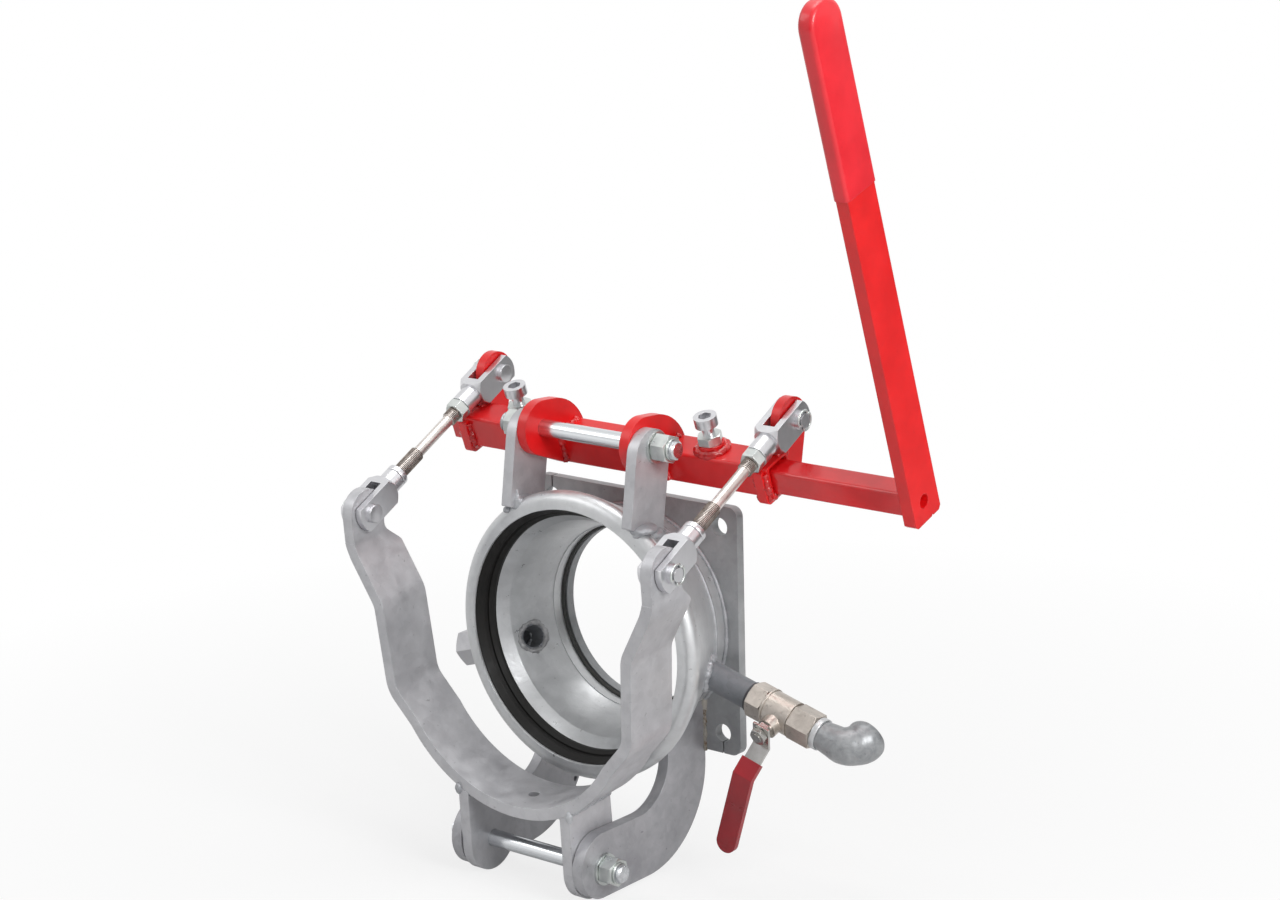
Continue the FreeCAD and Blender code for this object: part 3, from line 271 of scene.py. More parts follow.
finish = {
    "bands": galvanised("galvanised_bands", (0.58, 0.58, 0.60), (0.44, 0.44, 0.46), 0.55, 0.42),
    "arms": galvanised("galvanised_arms", (0.48, 0.48, 0.50), (0.33, 0.33, 0.35), 0.5, 0.42),
    "cup": galvanised("galvanised_cup", (0.66, 0.67, 0.68), (0.53, 0.54, 0.55), 0.62, 0.35),
    "plate": galvanised("galvanised_plate", (0.43, 0.44, 0.45), (0.29, 0.30, 0.31), 0.3, 0.5),
    "pipe": galvanised("galvanised_pipe", (0.28, 0.29, 0.31), (0.16, 0.17, 0.185), 0.35, 0.5),
    "weld": galvanised("galvanised_weld", (0.52, 0.53, 0.55), (0.27, 0.28, 0.30), 0.35, 0.46, 0.0),
    "burntWeld": galvanised("burnt_weld", (0.56, 0.56, 0.57), (0.22, 0.22, 0.225), 0.3, 0.44, 0.0),
    # Near black: painted shade for the dark corner inside the neck at the plate.
    "paintedShadeRing": galvanised("painted_shade_neck_ring", (0.075, 0.075, 0.07), (0.03, 0.03, 0.03), 0.2, 0.6, 0.0),
    "rustedWeld": galvanised("rusted_weld", (0.42, 0.40, 0.37), (0.25, 0.23, 0.19), 0.2, 0.6, 0.0, 0.09),
    "red": paint("red_gloss_paint", (0.90, 0.011, 0.013), (0.80, 0.008, 0.010), 0.34, 0.12),
    "barRed": paint("red_bar_paint", (0.86, 0.011, 0.015), (0.72, 0.008, 0.011), 0.2, 0.3, 0.04),
    # Darker red than the frame's paint: painted shade for the weld fillets in the corners between tube,
    # plates and cranks.
    "redWeld": paint("red_painted_weld", (0.78, 0.010, 0.012), (0.50, 0.007, 0.009), 0.26, 0.3, 0.2, 0.0),
    "grip": paint("grip_vinyl", (0.90, 0.018, 0.032), (0.80, 0.012, 0.024), 0.34, 0.3, 0.05),
    "sleeve": paint("sleeve_vinyl", (0.36, 0.006, 0.014), (0.27, 0.004, 0.010), 0.3, 0.15, 0.08,
                    dustiness=0.05),
    "shaft": machined("bright_shaft", (0.76, 0.78, 0.80), (0.58, 0.60, 0.62), 0.2, (2, 220, 220), 1.0,
                      patches=0.0, dents=0.0),
    "zinc": machined("bright_zinc", (0.68, 0.68, 0.70), (0.62, 0.62, 0.64), 0.28, (40, 90, 40),
                     dents=0.1),
    "zincNut": machined("zinc_nut", (0.66, 0.69, 0.67), (0.52, 0.55, 0.54), 0.28, (60, 60, 60), 0.9, 0.0007,
                        dents=0.2),
    "rod": machined("turned_rod", (0.74, 0.70, 0.67), (0.50, 0.45, 0.42), 0.32, (30, 30, 30), 0.8,
                    dents=0.1),
    "thread": machined("dark_thread", (0.40, 0.34, 0.30), (0.12, 0.095, 0.08), 0.32, (200, 200, 200), 0.9,
                       0.0),
    "screwThread": machined("zinc_thread", (0.66, 0.68, 0.69), (0.40, 0.42, 0.44), 0.3, (200, 200, 200),
                            softEdge=0.0),
    "chrome": machined("handle_chrome", (0.52, 0.51, 0.49), (0.40, 0.39, 0.37), 0.18, (100, 40, 40), 1.0,
                       0.0007, dents=0.1),
    "nickel": cast("nickel_valve", (0.58, 0.53, 0.48), (0.41, 0.37, 0.33), 0.85, 0.32, 0.3, 0.12),
    "casting": cast("galvanised_elbow", (0.41, 0.42, 0.43), (0.25, 0.26, 0.27), 0.5, 0.36, 0.5, 0.35),
    "seal": rubber("seal_rubber", (0.014, 0.013, 0.012), (0.006, 0.0055, 0.005), 0.5, 900.0),
    "nylon": rubber("nut_nylon", (0.05, 0.05, 0.055), (0.02, 0.02, 0.022), 0.4),
    "tape": rubber("thread_tape", (0.16, 0.16, 0.17), (0.06, 0.06, 0.065), 0.6),
    "seat": paint("seat_plastic", (0.85, 0.85, 0.83), (0.78, 0.78, 0.76), 0.4, 0.0, 0.03),
}
finishOf = {
    "bands": ["right_shaft_lug", "left_shaft_lug", "yoke_band", "right_yoke_leg", "left_yoke_leg",
              "left_port_cap"],
    "arms": ["right_hinge_arm", "left_hinge_arm"],
    "cup": ["coupling_cup", "neck_ring"],
    "plate": ["flange_plate"],
    "pipe": ["right_port_pipe", "left_port_pipe"],
    "red": ["square_tube", "right_pivot_plate", "left_pivot_plate", "right_crank_plate", "left_crank_plate",
            "set_screw_bosses", "hand_lever"],
    "barRed": ["inner_bar"],
    "grip": ["lever_grip"],
    "sleeve": ["valve_handle_sleeve"],
    "shaft": ["top_shaft", "bottom_shaft"],
    "zinc": ["set_screws", "hook_pin_cores"],
    "zincNut": ["top_shaft_washers", "top_shaft_nuts", "bottom_shaft_washers", "bottom_shaft_nuts",
                "set_screw_nuts"],
    "chrome": ["valve_gland_nut", "valve_stem", "valve_handle", "valve_handle_nut", "valve_ball"],
    "nickel": ["valve_end_piece", "valve_body"],
    "casting": ["outlet_elbow"],
    "seal": ["cup_seal"],
    "tape": ["valve_thread_tape"],
    "seat": ["valve_seats"],
}
onBothSides = {
    "rod": ["tie_rod"],
    "zinc": ["upper_fork", "lower_fork", "upper_pin", "lower_pin_ends", "pin_collars"],
    "zincNut": ["rod_lock_nut", "rod_thin_nut"],
}
for key, names in onBothSides.items():
    finishOf[key] = finishOf.get(key, []) + [side + "_" + name for side in sides for name in names]
for key, names in finishOf.items():
    for name in names:
        for materialSlot in nodes[name].material_slots:
            materialSlot.material = finish[key]
bare = set(nodes) - {name for names in finishOf.values() for name in names}
print("materials made:", len(finish), "nodes without one:", sorted(bare))


# What each new piece is made with.
def pick(*pieces):
    if bpy.context.object and bpy.context.object.mode != "OBJECT":
        bpy.ops.object.mode_set(mode="OBJECT")
    bpy.ops.object.select_all(action="DESELECT")
    for piece in pieces:
        piece.select_set(True)
    bpy.context.view_layer.objects.active = pieces[0]


def place(piece, matrix):
    pick(piece)
    piece.matrix_world = matrix @ piece.matrix_world
    bpy.ops.object.transform_apply(location=True, rotation=True, scale=True)


def joined(name, pieces):
    pick(*pieces)
    if len(pieces) > 1:
        bpy.ops.object.join()
    piece = bpy.context.object
    piece.name = name
    piece.data.name = name
    return piece


def apply(piece, kind, **settings):
    pick(piece)
    modifier = piece.modifiers.new(kind.lower(), kind)
    for key, value in settings.items():
        setattr(modifier, key, value)
    bpy.ops.object.modifier_apply(modifier=modifier.name)


def complete(piece, body, material, angle=35):
    pick(piece)
    bpy.ops.object.transform_apply(location=True, rotation=True, scale=True)
    bpy.ops.object.mode_set(mode="EDIT")
    bpy.ops.mesh.select_all(action="SELECT")
    bpy.ops.mesh.remove_doubles(threshold=0.000005)
    bpy.ops.mesh.normals_make_consistent(inside=False)
    bpy.ops.object.mode_set(mode="OBJECT")
    bpy.ops.object.shade_smooth_by_angle(angle=math.radians(angle))
    piece.data.materials.clear()
    piece.data.materials.append(material)
    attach(piece, body)
    return piece


def walked(points, step):
    # Points along a polyline at even steps, both in metres.
    result = [Vector(points[0])]
    for first, last in zip(points, points[1:]):
        first, last = Vector(first), Vector(last)
        count = max(1, round((last - first).length / step))
        for index in range(1, count + 1):
            result.append(first.lerp(last, index / count))
    return result


def weldBead(name, points, radius, closed=False, seed=0.0, step=0.0018, lumps=0.16):
    # A round bead along a line, with the ripples that a welder leaves. step is in metres.
    line = walked([(p[0] / 1000, p[1] / 1000, p[2] / 1000) for p in points], step)
    if closed:
        line = line[:-1]
    curve = bpy.data.curves.new(name, "CURVE")
    curve.dimensions = "3D"
    curve.bevel_depth = radius / 1000
    curve.bevel_resolution = 2
    curve.use_fill_caps = True
    spline = curve.splines.new("POLY")
    spline.points.add(len(line) - 1)
    spline.use_cyclic_u = closed
    for index, point in enumerate(line):
        wave = math.sin(index * 2.2 + seed) * 0.6 + math.sin(index * 0.71 + seed * 3) * 0.7
        spline.points[index].co = (*point, 1.0)
        spline.points[index].radius = 1.0 + lumps * wave
    piece = bpy.data.objects.new(name, curve)
    bpy.context.collection.objects.link(piece)
    pick(piece)
    bpy.ops.object.convert(target="MESH")
    return bpy.context.object


def weldLump(centre, radius, stretch=(1, 1, 1)):
    # A blob of weld metal, which rough() runs into its bead.
    bpy.ops.mesh.primitive_ico_sphere_add(subdivisions=3, radius=radius / 1000,
                                          location=[value / 1000 for value in centre])
    piece = bpy.context.object
    piece.scale = stretch
    pick(piece)
    bpy.ops.object.transform_apply(location=True, rotation=True, scale=True)
    return piece


def rough(piece, voxel=0.001, passes=2, push=0.002, grain=0.006):
    # Runs overlapping beads together and leaves the surface as lumpy as cooled metal. Sizes in metres.
    apply(piece, "REMESH", mode="VOXEL", voxel_size=voxel)
    lumps = bpy.data.textures.new(piece.name + "_lumps", "CLOUDS")
    lumps.noise_scale = grain
    lumps.noise_depth = 2
    apply(piece, "DISPLACE", texture=lumps, strength=push, mid_level=0.5, texture_coords="LOCAL")
    apply(piece, "SMOOTH", factor=0.5, iterations=passes)
    return piece


def threadRidge(radius, pitch, length):
    # One turned groove after the other: a three-cornered ridge wound round Z.
    radius, pitch, length = radius / 1000, pitch / 1000, length / 1000
    bpy.ops.mesh.primitive_circle_add(vertices=3, radius=pitch * 0.52, fill_type="NOTHING",
                                      location=(radius, 0, 0), rotation=(math.pi / 2, 0, 0))
    piece = bpy.context.object
    bpy.ops.object.mode_set(mode="EDIT")
    bpy.ops.mesh.select_all(action="SELECT")
    bpy.ops.transform.rotate(value=-math.pi / 2, orient_axis="Y", center_override=(radius, 0, 0))
    bpy.ops.object.mode_set(mode="OBJECT")
    pick(piece)
    bpy.ops.object.transform_apply(location=True, rotation=True, scale=True)
    turns = max(1, int(length / pitch))
    apply(piece, "SCREW", axis="Z", angle=math.tau, screw_offset=pitch, iterations=turns, steps=20,
          render_steps=20, use_merge_vertices=True)
    return piece


def quarterTurn(axis, turns=1):
    return Matrix.Rotation(turns * math.pi / 2, 4, axis)


def at(x, y, z):
    return Matrix.Translation((x / 1000, y / 1000, z / 1000))


def alongX(x):
    # Puts a piece that was made along Z on the X axis.
    return at(x, 0, 0) @ quarterTurn("Y")


def circleRoundY(radius, y, count):
    return [(radius * math.cos(math.tau * i / count), y, radius * math.sin(math.tau * i / count))
            for i in range(count + 1)]


# Welds on the cup, its lugs, arms and side pipes.
cupShape = {"neckRadius": 132.0, "neckFront": -32.0, "tangent": (171.18, -112.3),
            "lip": (159.5, -118.0, 13.0), "inner": ((-32.0, 112.5), (-90.0, 131.0), (-104.0, 140.5))}


def cupRadius(y):
    # The cup's outside: its neck, its cone and then its round lip.
    if y > cupShape["neckFront"]:
        return cupShape["neckRadius"]
    radius, front = cupShape["tangent"]
    if y > front:
        share = (cupShape["neckFront"] - y) / (cupShape["neckFront"] - front)
        return cupShape["neckRadius"] + share * (radius - cupShape["neckRadius"])
    centre, middle, lip = cupShape["lip"]
    return centre + math.sqrt(max(0.0, lip ** 2 - (y - middle) ** 2))


def cupInside(y):
    # The cup's inside: a gentle cone from the neck to the knee, and a steeper one in front of it.
    back, knee, front = cupShape["inner"]
    start, end = (back, knee) if y > knee[0] else (knee, front)
    return start[1] + (end[1] - start[1]) * (start[0] - y) / (start[0] - end[0])


def onCup(x, y, sign=1):
    return (x, y, sign * math.sqrt(cupRadius(y) ** 2 - x ** 2))


lugWelds = {"inner": 82.6, "outer": 96.0, "front": -129.5, "back": -79.5, "radius": 4.2, "lumps": 0.22,
            "stride": 2.0, "strides": 26, "passes": {1: 14, -1: 3}}
lugLumps = {  # for the right and the left lug: line, y, radius and stretch of each blob
    1: (("inner", -124.0, 8.0, (0.8, 1.0, 0.7)), ("inner", -100.0, 6.0, (1, 1.8, 0.9)),
        ("outer", -124.0, 9.0, (1.2, 1.0, 0.6)), ("outer", -113.0, 11.0, (1.5, 1.5, 0.6)),
        ("outer", -99.0, 9.5, (1.4, 1.6, 0.7)), ("outer", -86.0, 7.5, (1, 1.4, 0.9))),
    -1: (("inner", -124.0, 9.0, (0.9, 0.9, 0.8)), ("inner", -124.0, 11.0, (1.8, 0.35, 0.35)),
         ("inner", -116.0, 10.0, (1.3, 1.4, 0.5)), ("inner", -125.0, 10.0, (0.35, 0.4, 1.7)),
         ("inner", -127.0, 8.0, (1.2, 0.5, 1.1)),
         ("inner", -104.0, 7.5, (1, 1.7, 0.9)), ("outer", -127.0, 5.0, (1, 1.2, 0.9)),
         ("outer", -100.0, 4.8, (1, 1.4, 0.9))),
}
for side, name in ((1, "right_lug_welds"), (-1, "left_lug_welds")):
    inner, outer = side * lugWelds["inner"], side * lugWelds["outer"]
    span = [lugWelds["front"] + index * lugWelds["stride"] for index in range(lugWelds["strides"])]
    span = [y for y in span if y < lugWelds["back"]] + [lugWelds["back"]]
    line = [onCup(inner, y) for y in span] + [onCup(outer, y) for y in reversed(span)]
    beads = [weldBead("lug_weld", line, lugWelds["radius"], seed=side, lumps=lugWelds["lumps"])]
    for where, y, radius, stretch in lugLumps[side]:
        beads.append(weldLump(onCup(side * lugWelds[where], y), radius, stretch))
    piece = rough(joined(name, beads), passes=lugWelds["passes"][side], push=0.0024)
    complete(piece, "housing", finish["weld"], 80)

armWelds = {"inner": 84.0, "outer": 98.0, "cupFrom": -33.0, "stride": 3.0, "strides": 17, "cupBead": 3.6,
            "plate": -12.0, "top": -92.0, "foot": -152.0, "plateBead": 3.0, "topBlob": 5.5}
beads = []
for side in (1, -1):
    for x in (armWelds["inner"], armWelds["outer"]):
        line = [onCup(side * x, armWelds["cupFrom"] - index * armWelds["stride"], -1)
                for index in range(armWelds["strides"])]
        beads.append(weldBead("arm_cup_weld", line, armWelds["cupBead"], seed=x))
piece = rough(joined("arm_cup_welds", beads), voxel=0.0012)
complete(piece, "housing", finish["weld"], 80)
beads = []
for side in (1, -1):
    for x in (armWelds["inner"], armWelds["outer"]):
        line = [(side * x, armWelds["plate"], armWelds[end]) for end in ("top", "foot")]
        beads.append(weldBead("arm_plate_weld", line, armWelds["plateBead"], seed=x * side, lumps=0.3))
    topCorner = (side * armWelds["outer"], armWelds["plate"], armWelds["top"])
    beads.append(weldLump(topCorner, armWelds["topBlob"], (0.8, 1, 1.3)))
piece = rough(joined("arm_plate_welds", beads))
complete(piece, "housing", finish["rustedWeld"], 80)


portSearch = {"points": 48, "halvings": 24, "nearest": 90.0, "farthest": 190.0}


def ringOnCup(portPlace, radius, wall, standOff):
    # Points where a side pipe of that radius meets the cup's wall, found by halving.
    points = []
    for index in range(portSearch["points"] + 1):
        angle = math.tau * index / portSearch["points"]
        low, high = portSearch["nearest"], portSearch["farthest"]
        for _ in range(portSearch["halvings"]):
            middle = (low + high) / 2
            spotAt = portPlace @ Vector((middle / 1000, radius * math.cos(angle) / 1000,
                                         radius * math.sin(angle) / 1000)) * 1000
            if math.hypot(spotAt.x, spotAt.z) < wall(spotAt.y) + standOff:
                low = middle
            else:
                high = middle
        points.append(tuple(spotAt))
    return points


portWelds = {
    "_port_weld": {"radius": 17.6, "bead": 5.0, "lumps": 0.2, "push": 0.0022, "wall": cupRadius,
                   "standOff": 0.5, "finish": "weld"},
    "_port_inside_weld": {"radius": 17.3, "bead": 3.0, "lumps": 0.34, "push": 0.0028, "wall": cupInside,
                          "standOff": 0.4, "finish": "burntWeld"},
}
for ending, weld in portWelds.items():
    for side, portPlace in (("right", rightPort), ("left", otherSide @ leftPort)):
        ring = ringOnCup(portPlace, weld["radius"], weld["wall"], weld["standOff"])
        bead = weldBead(side + ending, ring, weld["bead"], True, weld["radius"], lumps=weld["lumps"])
        piece = rough(joined(side + ending, [bead]), push=weld["push"], grain=0.004)
        complete(piece, "housing", finish[weld["finish"]], 80)

# The third ring is painted shade, not a weld: a near-black band inside the neck, where its corner with the
# plate lies in shadow.
neckWelds = {"plate": (133.0, -13.0, 2.6), "cup": (132.5, -32.5, 2.4), "paintedShade": (110.6, -15.6, 2.4)}
beads = []
for name in ("plate", "cup"):
    radius, y, bead = neckWelds[name]
    beads.append(weldBead(name + "_ring_weld", circleRoundY(radius, y, 90), bead, True, y, 0.004, 0.1))
complete(joined("neck_ring_welds", beads), "housing", finish["weld"], 60)
# Painted shade: a near-black ring on the neck's inner wall, where the corner at the plate lies in shadow.
radius, y, bead = neckWelds["paintedShade"]
piece = weldBead("neck_painted_shade_ring", circleRoundY(radius, y, 120), bead, True, 5.0, 0.003, 0.08)
complete(joined("neck_painted_shade_ring", [piece]), "housing", finish["paintedShadeRing"], 60)
print("cup welds made")

# Welds between the yoke's band and its legs.
legWelds = {"inner": 69.0, "outer": 83.0, "arcRadius": 175.5, "arcHeight": -151.0, "front": -28.0,
            "back": 45.0, "endGap": 1, "radius": 3.6, "blob": 5.2, "blobDrop": 3}


def underBand(x):
    return legWelds["arcHeight"] - math.sqrt(legWelds["arcRadius"] ** 2 - x ** 2)


beads = []
for side in (1, -1):
    front, back = legWelds["front"], legWelds["back"]
    for x in (legWelds["inner"], legWelds["outer"]):
        line = [(side * x, y, underBand(x)) for y in (front + legWelds["endGap"], back - legWelds["endGap"])]
        beads.append(weldBead("leg_weld", line, legWelds["radius"], seed=x * side, lumps=0.2))
    for x, y in ((legWelds["outer"], front), (legWelds["inner"], back)):
        centre = (side * x, y, underBand(x) - legWelds["blobDrop"])
        beads.append(weldLump(centre, legWelds["blob"], (0.9, 0.8, 1.5)))
piece = rough(joined("yoke_leg_welds", beads))
place(piece, yokePlace)
complete(piece, "yoke", finish["weld"], 80)

# Welds on the red lever frame, painted over.
frameWelds = {"half": 20.0, "crankInner": 213.0, "crankOuter": 225.0, "crankFrom": 13, "crankTo": 6,
              "plateInner": 69.0, "plateOuter": 82.0, "plateFrom": -17.0, "plateTo": 14, "radius": 4.8}
bossWelds = {"across": 141, "long": 16.8, "wide": 15.6, "height": 20.5, "radius": 5.9, "points": 40}
beads = []
for side in (1, -1):
    half = frameWelds["half"]
    crankLine = [(-half, frameWelds["crankFrom"]), (-half, -half), (half, -half), (half, half),
                 (frameWelds["crankTo"], half)]
    plateLine = [(-half, frameWelds["plateFrom"]), (-half, half), (frameWelds["plateTo"], half)]
    for x, corners in ((frameWelds["crankInner"], crankLine), (frameWelds["crankOuter"], crankLine),
                       (frameWelds["plateInner"], plateLine), (frameWelds["plateOuter"], plateLine)):
        line = [(side * x, y, z) for y, z in corners]
        beads.append(weldBead("frame_weld", line, frameWelds["radius"], seed=x * side, step=0.0026,
                              lumps=0.34))
    oval = []
    for i in range(bossWelds["points"] + 1):
        angle = math.tau * i / bossWelds["points"]
        oval.append((side * bossWelds["across"] + bossWelds["long"] * math.cos(angle),
                     bossWelds["wide"] * math.sin(angle), bossWelds["height"]))
    beads.append(weldBead("boss_weld", oval, bossWelds["radius"], True, side, step=0.004, lumps=0.14))
piece = rough(joined("lever_frame_welds", beads), passes=8, push=0.0016, grain=0.005)
place(piece, leverPlace)
# The welds' darker red is painted shade for these corners.
complete(piece, "lever_frame", finish["redWeld"], 60)
print("lever and yoke welds made")

# Threads of the tie rods and the two shafts.
threads = {"rodRadius": 8.0, "rodPitch": 2.0, "lowerFrom": 69.0, "lowerTo": 107.0, "upperFrom": 170.4,
           "upperTo": 182.4, "shaftRadius": 10.0, "shaftPitch": 2.5, "topFrom": 119.5, "topTo": 127.5,
           "bottomFrom": 119.2, "bottomTo": 126.5}
for side, mirror in sides.items():
    ends = []
    for name in ("lower", "upper"):
        start, stop = threads[name + "From"], threads[name + "To"]
        ridge = threadRidge(threads["rodRadius"], threads["rodPitch"], stop - start)
        place(ridge, at(rodAcross, 0, start))
        ends.append(ridge)
    piece = joined(side + "_rod_threads", ends)
    place(piece, mirror @ rodPlace)
    complete(piece, side + "_link", finish["thread"], 20)
for name, (y, z) in shaftPlaces.items():
    ends = []
    for mirror in sides.values():
        start, stop = threads[name + "From"], threads[name + "To"]
        ridge = threadRidge(threads["shaftRadius"], threads["shaftPitch"], stop - start)
        place(ridge, mirror @ at(0, y, z) @ alongX(start))
        ends.append(ridge)
    piece = joined(name + "_shaft_threads", ends)
    complete(piece, "housing", finish["screwThread"], 20)
print("threads made")


# Nut collars, pin heads and spring clips.
def ringPiece(name, outer, inner, length, bevel, corners=48):
    # A ring round Z: a disc, inset, its middle taken out and the rest extruded.
    outer, inner, length, bevel = outer / 1000, inner / 1000, length / 1000, bevel / 1000
    bpy.ops.mesh.primitive_circle_add(vertices=corners, radius=outer, fill_type="NGON")
    piece = bpy.context.object
    bpy.ops.object.mode_set(mode="EDIT")
    bpy.ops.mesh.select_all(action="SELECT")
    bpy.ops.mesh.inset(thickness=outer - inner)
    bpy.ops.mesh.delete(type="FACE")
    bpy.ops.mesh.select_all(action="SELECT")
    bpy.ops.mesh.extrude_region_move(TRANSFORM_OT_translate={"value": (0, 0, length)})
    bpy.ops.object.mode_set(mode="OBJECT")
    piece.name = name
    apply(piece, "BEVEL", width=bevel, segments=3, limit_method="ANGLE", angle_limit=math.radians(50))
    return piece


nutCollars = {"outer": 12.6, "inner": 11.2, "height": 2.6, "bevel": 0.9, "top": 119.3, "bottom": 119.0,
              "nylonInner": 10.0, "nylonHeight": 1.8, "nylonBevel": 0.3}
for name, (y, z) in shaftPlaces.items():
    collars, inserts = [], []
    for mirror in sides.values():
        seat = mirror @ at(0, y, z) @ alongX(nutCollars[name])
        collar = ringPiece("collar", nutCollars["outer"], nutCollars["inner"], nutCollars["height"],
                           nutCollars["bevel"])
        place(collar, seat)
        collars.append(collar)
        insert = ringPiece("insert", nutCollars["inner"], nutCollars["nylonInner"],
                           nutCollars["nylonHeight"], nutCollars["nylonBevel"])
        place(insert, seat)
        inserts.append(insert)
    complete(joined(name + "_nut_collars", collars), "housing", finish["zincNut"])
    complete(joined(name + "_nut_nylon", inserts), "housing", finish["nylon"])


def pinFace(radius, height, bevel):
    # The chamfered outer face of a pin's head, round Z.
    radius, height, bevel = radius / 1000, height / 1000, bevel / 1000
    bpy.ops.mesh.primitive_cylinder_add(vertices=48, radius=radius, depth=height,
                                        location=(0, 0, height / 2))
    piece = bpy.context.object
    apply(piece, "BEVEL", width=bevel, segments=3, limit_method="ANGLE", angle_limit=math.radians(50))
    return piece


clipAngles = {"first": 20, "arcs": ((25, 160, 168), (190, 325, 330)), "stride": 9}


def snapClip(inner, outer, wire):
    # An open spring ring of two arcs, whose three inner points grip the pin's groove.
    line = [(inner, clipAngles["first"])]
    for start, end, turnIn in clipAngles["arcs"]:
        line += [(outer, angle) for angle in range(start, end, clipAngles["stride"])] + [(outer, end)]
        line.append((inner, turnIn))
    points = [(r * math.cos(math.radians(a)), r * math.sin(math.radians(a)), 0) for r, a in line]
    return weldBead("clip", points, wire, step=0.0008, lumps=0.0)


pinDetails = {"headFrom": 199.1, "headRadius": 10.6, "headRise": 0.9, "headBevel": 0.7, "clipAt": 241.5,
              "clipInner": 8.3, "clipOuter": 11.6, "wire": 1.25, "clipTurn": 0.6}
ringDetails = {"outer": 13.5, "inner": 8.2, "start": 61.9, "length": 7.1, "bevel": 0.9}
for side, mirror in sides.items():
    heads, clips = [], []
    for height in (0.0, rodLength):
        head = pinFace(pinDetails["headRadius"], pinDetails["headRise"], pinDetails["headBevel"])
        place(head, mirror @ rodPlace @ at(pinDetails["headFrom"], 0, height) @ quarterTurn("Y", -1))
        heads.append(head)
        clip = snapClip(pinDetails["clipInner"], pinDetails["clipOuter"], pinDetails["wire"])
        place(clip, mirror @ rodPlace @ at(pinDetails["clipAt"], 0, height)
              @ Matrix.Rotation(pinDetails["clipTurn"], 4, "X") @ quarterTurn("Y"))
        clips.append(clip)
    complete(joined(side + "_pin_heads", heads), side + "_link", finish["zinc"])
    complete(joined(side + "_pin_clips", clips), side + "_link", finish["zincNut"], 60)
    ring = ringPiece(side + "_fork_ring", ringDetails["outer"], ringDetails["inner"], ringDetails["length"],
                     ringDetails["bevel"], 64)
    place(ring, mirror @ rodPlace @ at(rodAcross, 0, ringDetails["start"]))
    complete(ring, side + "_link", finish["zinc"])
    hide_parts(side + "_rod_thin_nut")
print("fasteners made")

# The dipped grip on the hand lever.
grip = {"front": -25.5, "back": 29.5, "start": 370.0, "top": 579.5, "inner": 402.7, "outer": 422.3,
        "corner": 25.5, "edge": 5.0}
hair = 0.0001  # in metres, what still counts as the same height or place
bpy.ops.mesh.primitive_cube_add(size=1)
piece = bpy.context.object
piece.scale = ((grip["outer"] - grip["inner"]) / 1000, (grip["back"] - grip["front"]) / 1000,
               (grip["top"] - grip["start"]) / 1000)
piece.location = ((grip["outer"] + grip["inner"]) / 2000, (grip["back"] + grip["front"]) / 2000,
                  (grip["top"] + grip["start"]) / 2000)
pick(piece)
bpy.ops.object.transform_apply(location=True, rotation=True, scale=True)


def chooseEdges(piece, test):
    # Leaves the edges selected whose two ends pass the test.
    bpy.ops.object.mode_set(mode="EDIT")
    bpy.ops.mesh.select_mode(type="EDGE")
    bpy.ops.mesh.select_all(action="DESELECT")
    bpy.ops.object.mode_set(mode="OBJECT")
    points = piece.data.vertices
    for edge in piece.data.edges:
        first, last = (points[index].co for index in edge.vertices)
        edge.select = test(first, last)
    bpy.ops.object.mode_set(mode="EDIT")


topEdge = grip["top"] / 1000 - hair
chooseEdges(piece, lambda a, b: a.z > topEdge and b.z > topEdge and abs(a.x - b.x) > 10 * hair)
bpy.ops.mesh.bevel(offset=grip["corner"] / 1000, segments=16)
bpy.ops.object.mode_set(mode="OBJECT")
lowEdge = grip["start"] / 1000 + hair
chooseEdges(piece, lambda a, b: abs(a.x - b.x) < hair and not (a.z < lowEdge and b.z < lowEdge)
            and (a.z - b.z != 0 or a.y - b.y != 0))
bpy.ops.mesh.bevel(offset=grip["edge"] / 1000, segments=5)
bpy.ops.object.mode_set(mode="OBJECT")
piece.name = "hand_grip"
place(piece, leverPlace)
complete(piece, "lever_bar", finish["grip"], 50)
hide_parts("lever_grip")
print("grip made")

# The side valve's small forms and the cast elbow.
valveDetails = {"ringAt": 231.4, "ringOuter": 22.2, "ringInner": 20.8, "ringLength": 3.2, "bevel": 0.9,
                "neckAt": 300.3, "neckOuter": 19.0, "neckInner": 16.7, "neckLength": 7.2,
                "stopAt": (257.5, -29.5, 7.5), "stopRadius": 2.6, "stopRise": 4.0, "stopBevel": 0.6}
ring = ringPiece("valve_body_ring", valveDetails["ringOuter"], valveDetails["ringInner"],
                 valveDetails["ringLength"], valveDetails["bevel"], 64)
place(ring, rightPort @ alongX(valveDetails["ringAt"]))
complete(ring, "housing", finish["nickel"])
ring = ringPiece("elbow_neck_ring", valveDetails["neckOuter"], valveDetails["neckInner"],
                 valveDetails["neckLength"], valveDetails["bevel"], 64)
place(ring, rightPort @ Matrix.Rotation(math.radians(-valveRoll), 4, "X") @ alongX(valveDetails["neckAt"]))
complete(ring, "housing", finish["cup"])
stop = pinFace(valveDetails["stopRadius"], valveDetails["stopRise"], valveDetails["stopBevel"])
stop.name = "handle_stop_pin"
place(stop, rightPort @ at(*valveDetails["stopAt"]) @ quarterTurn("X"))
complete(stop, "housing", finish["nickel"])

# Along the neck, round the bend in degrees and up to the mouth, each with its radius there.
elbowShape = {"bend": (328.0, 22.0), "voxel": 0.0011, "passes": 14, "push": 0.0008, "grain": 0.008,
              "neck": ((300.5, 16.6), (308.0, 17.0), (314.0, 17.9), (322.0, 18.8)),
              "body": ((0, 19.8), (10, 20.8), (20, 21.5), (30, 22.0), (45, 22.2), (56, 22.8), (66, 23.7),
                       (78, 24.4), (90, 24.4)),
              "lip": ((25.0, 24.0), (28.5, 22.6), (31.0, 19.8)),
              "bore": ((296.0, 13.25), (328.0, 13.25)), "socket": ((22.0, 16.2), (34.0, 16.2))}


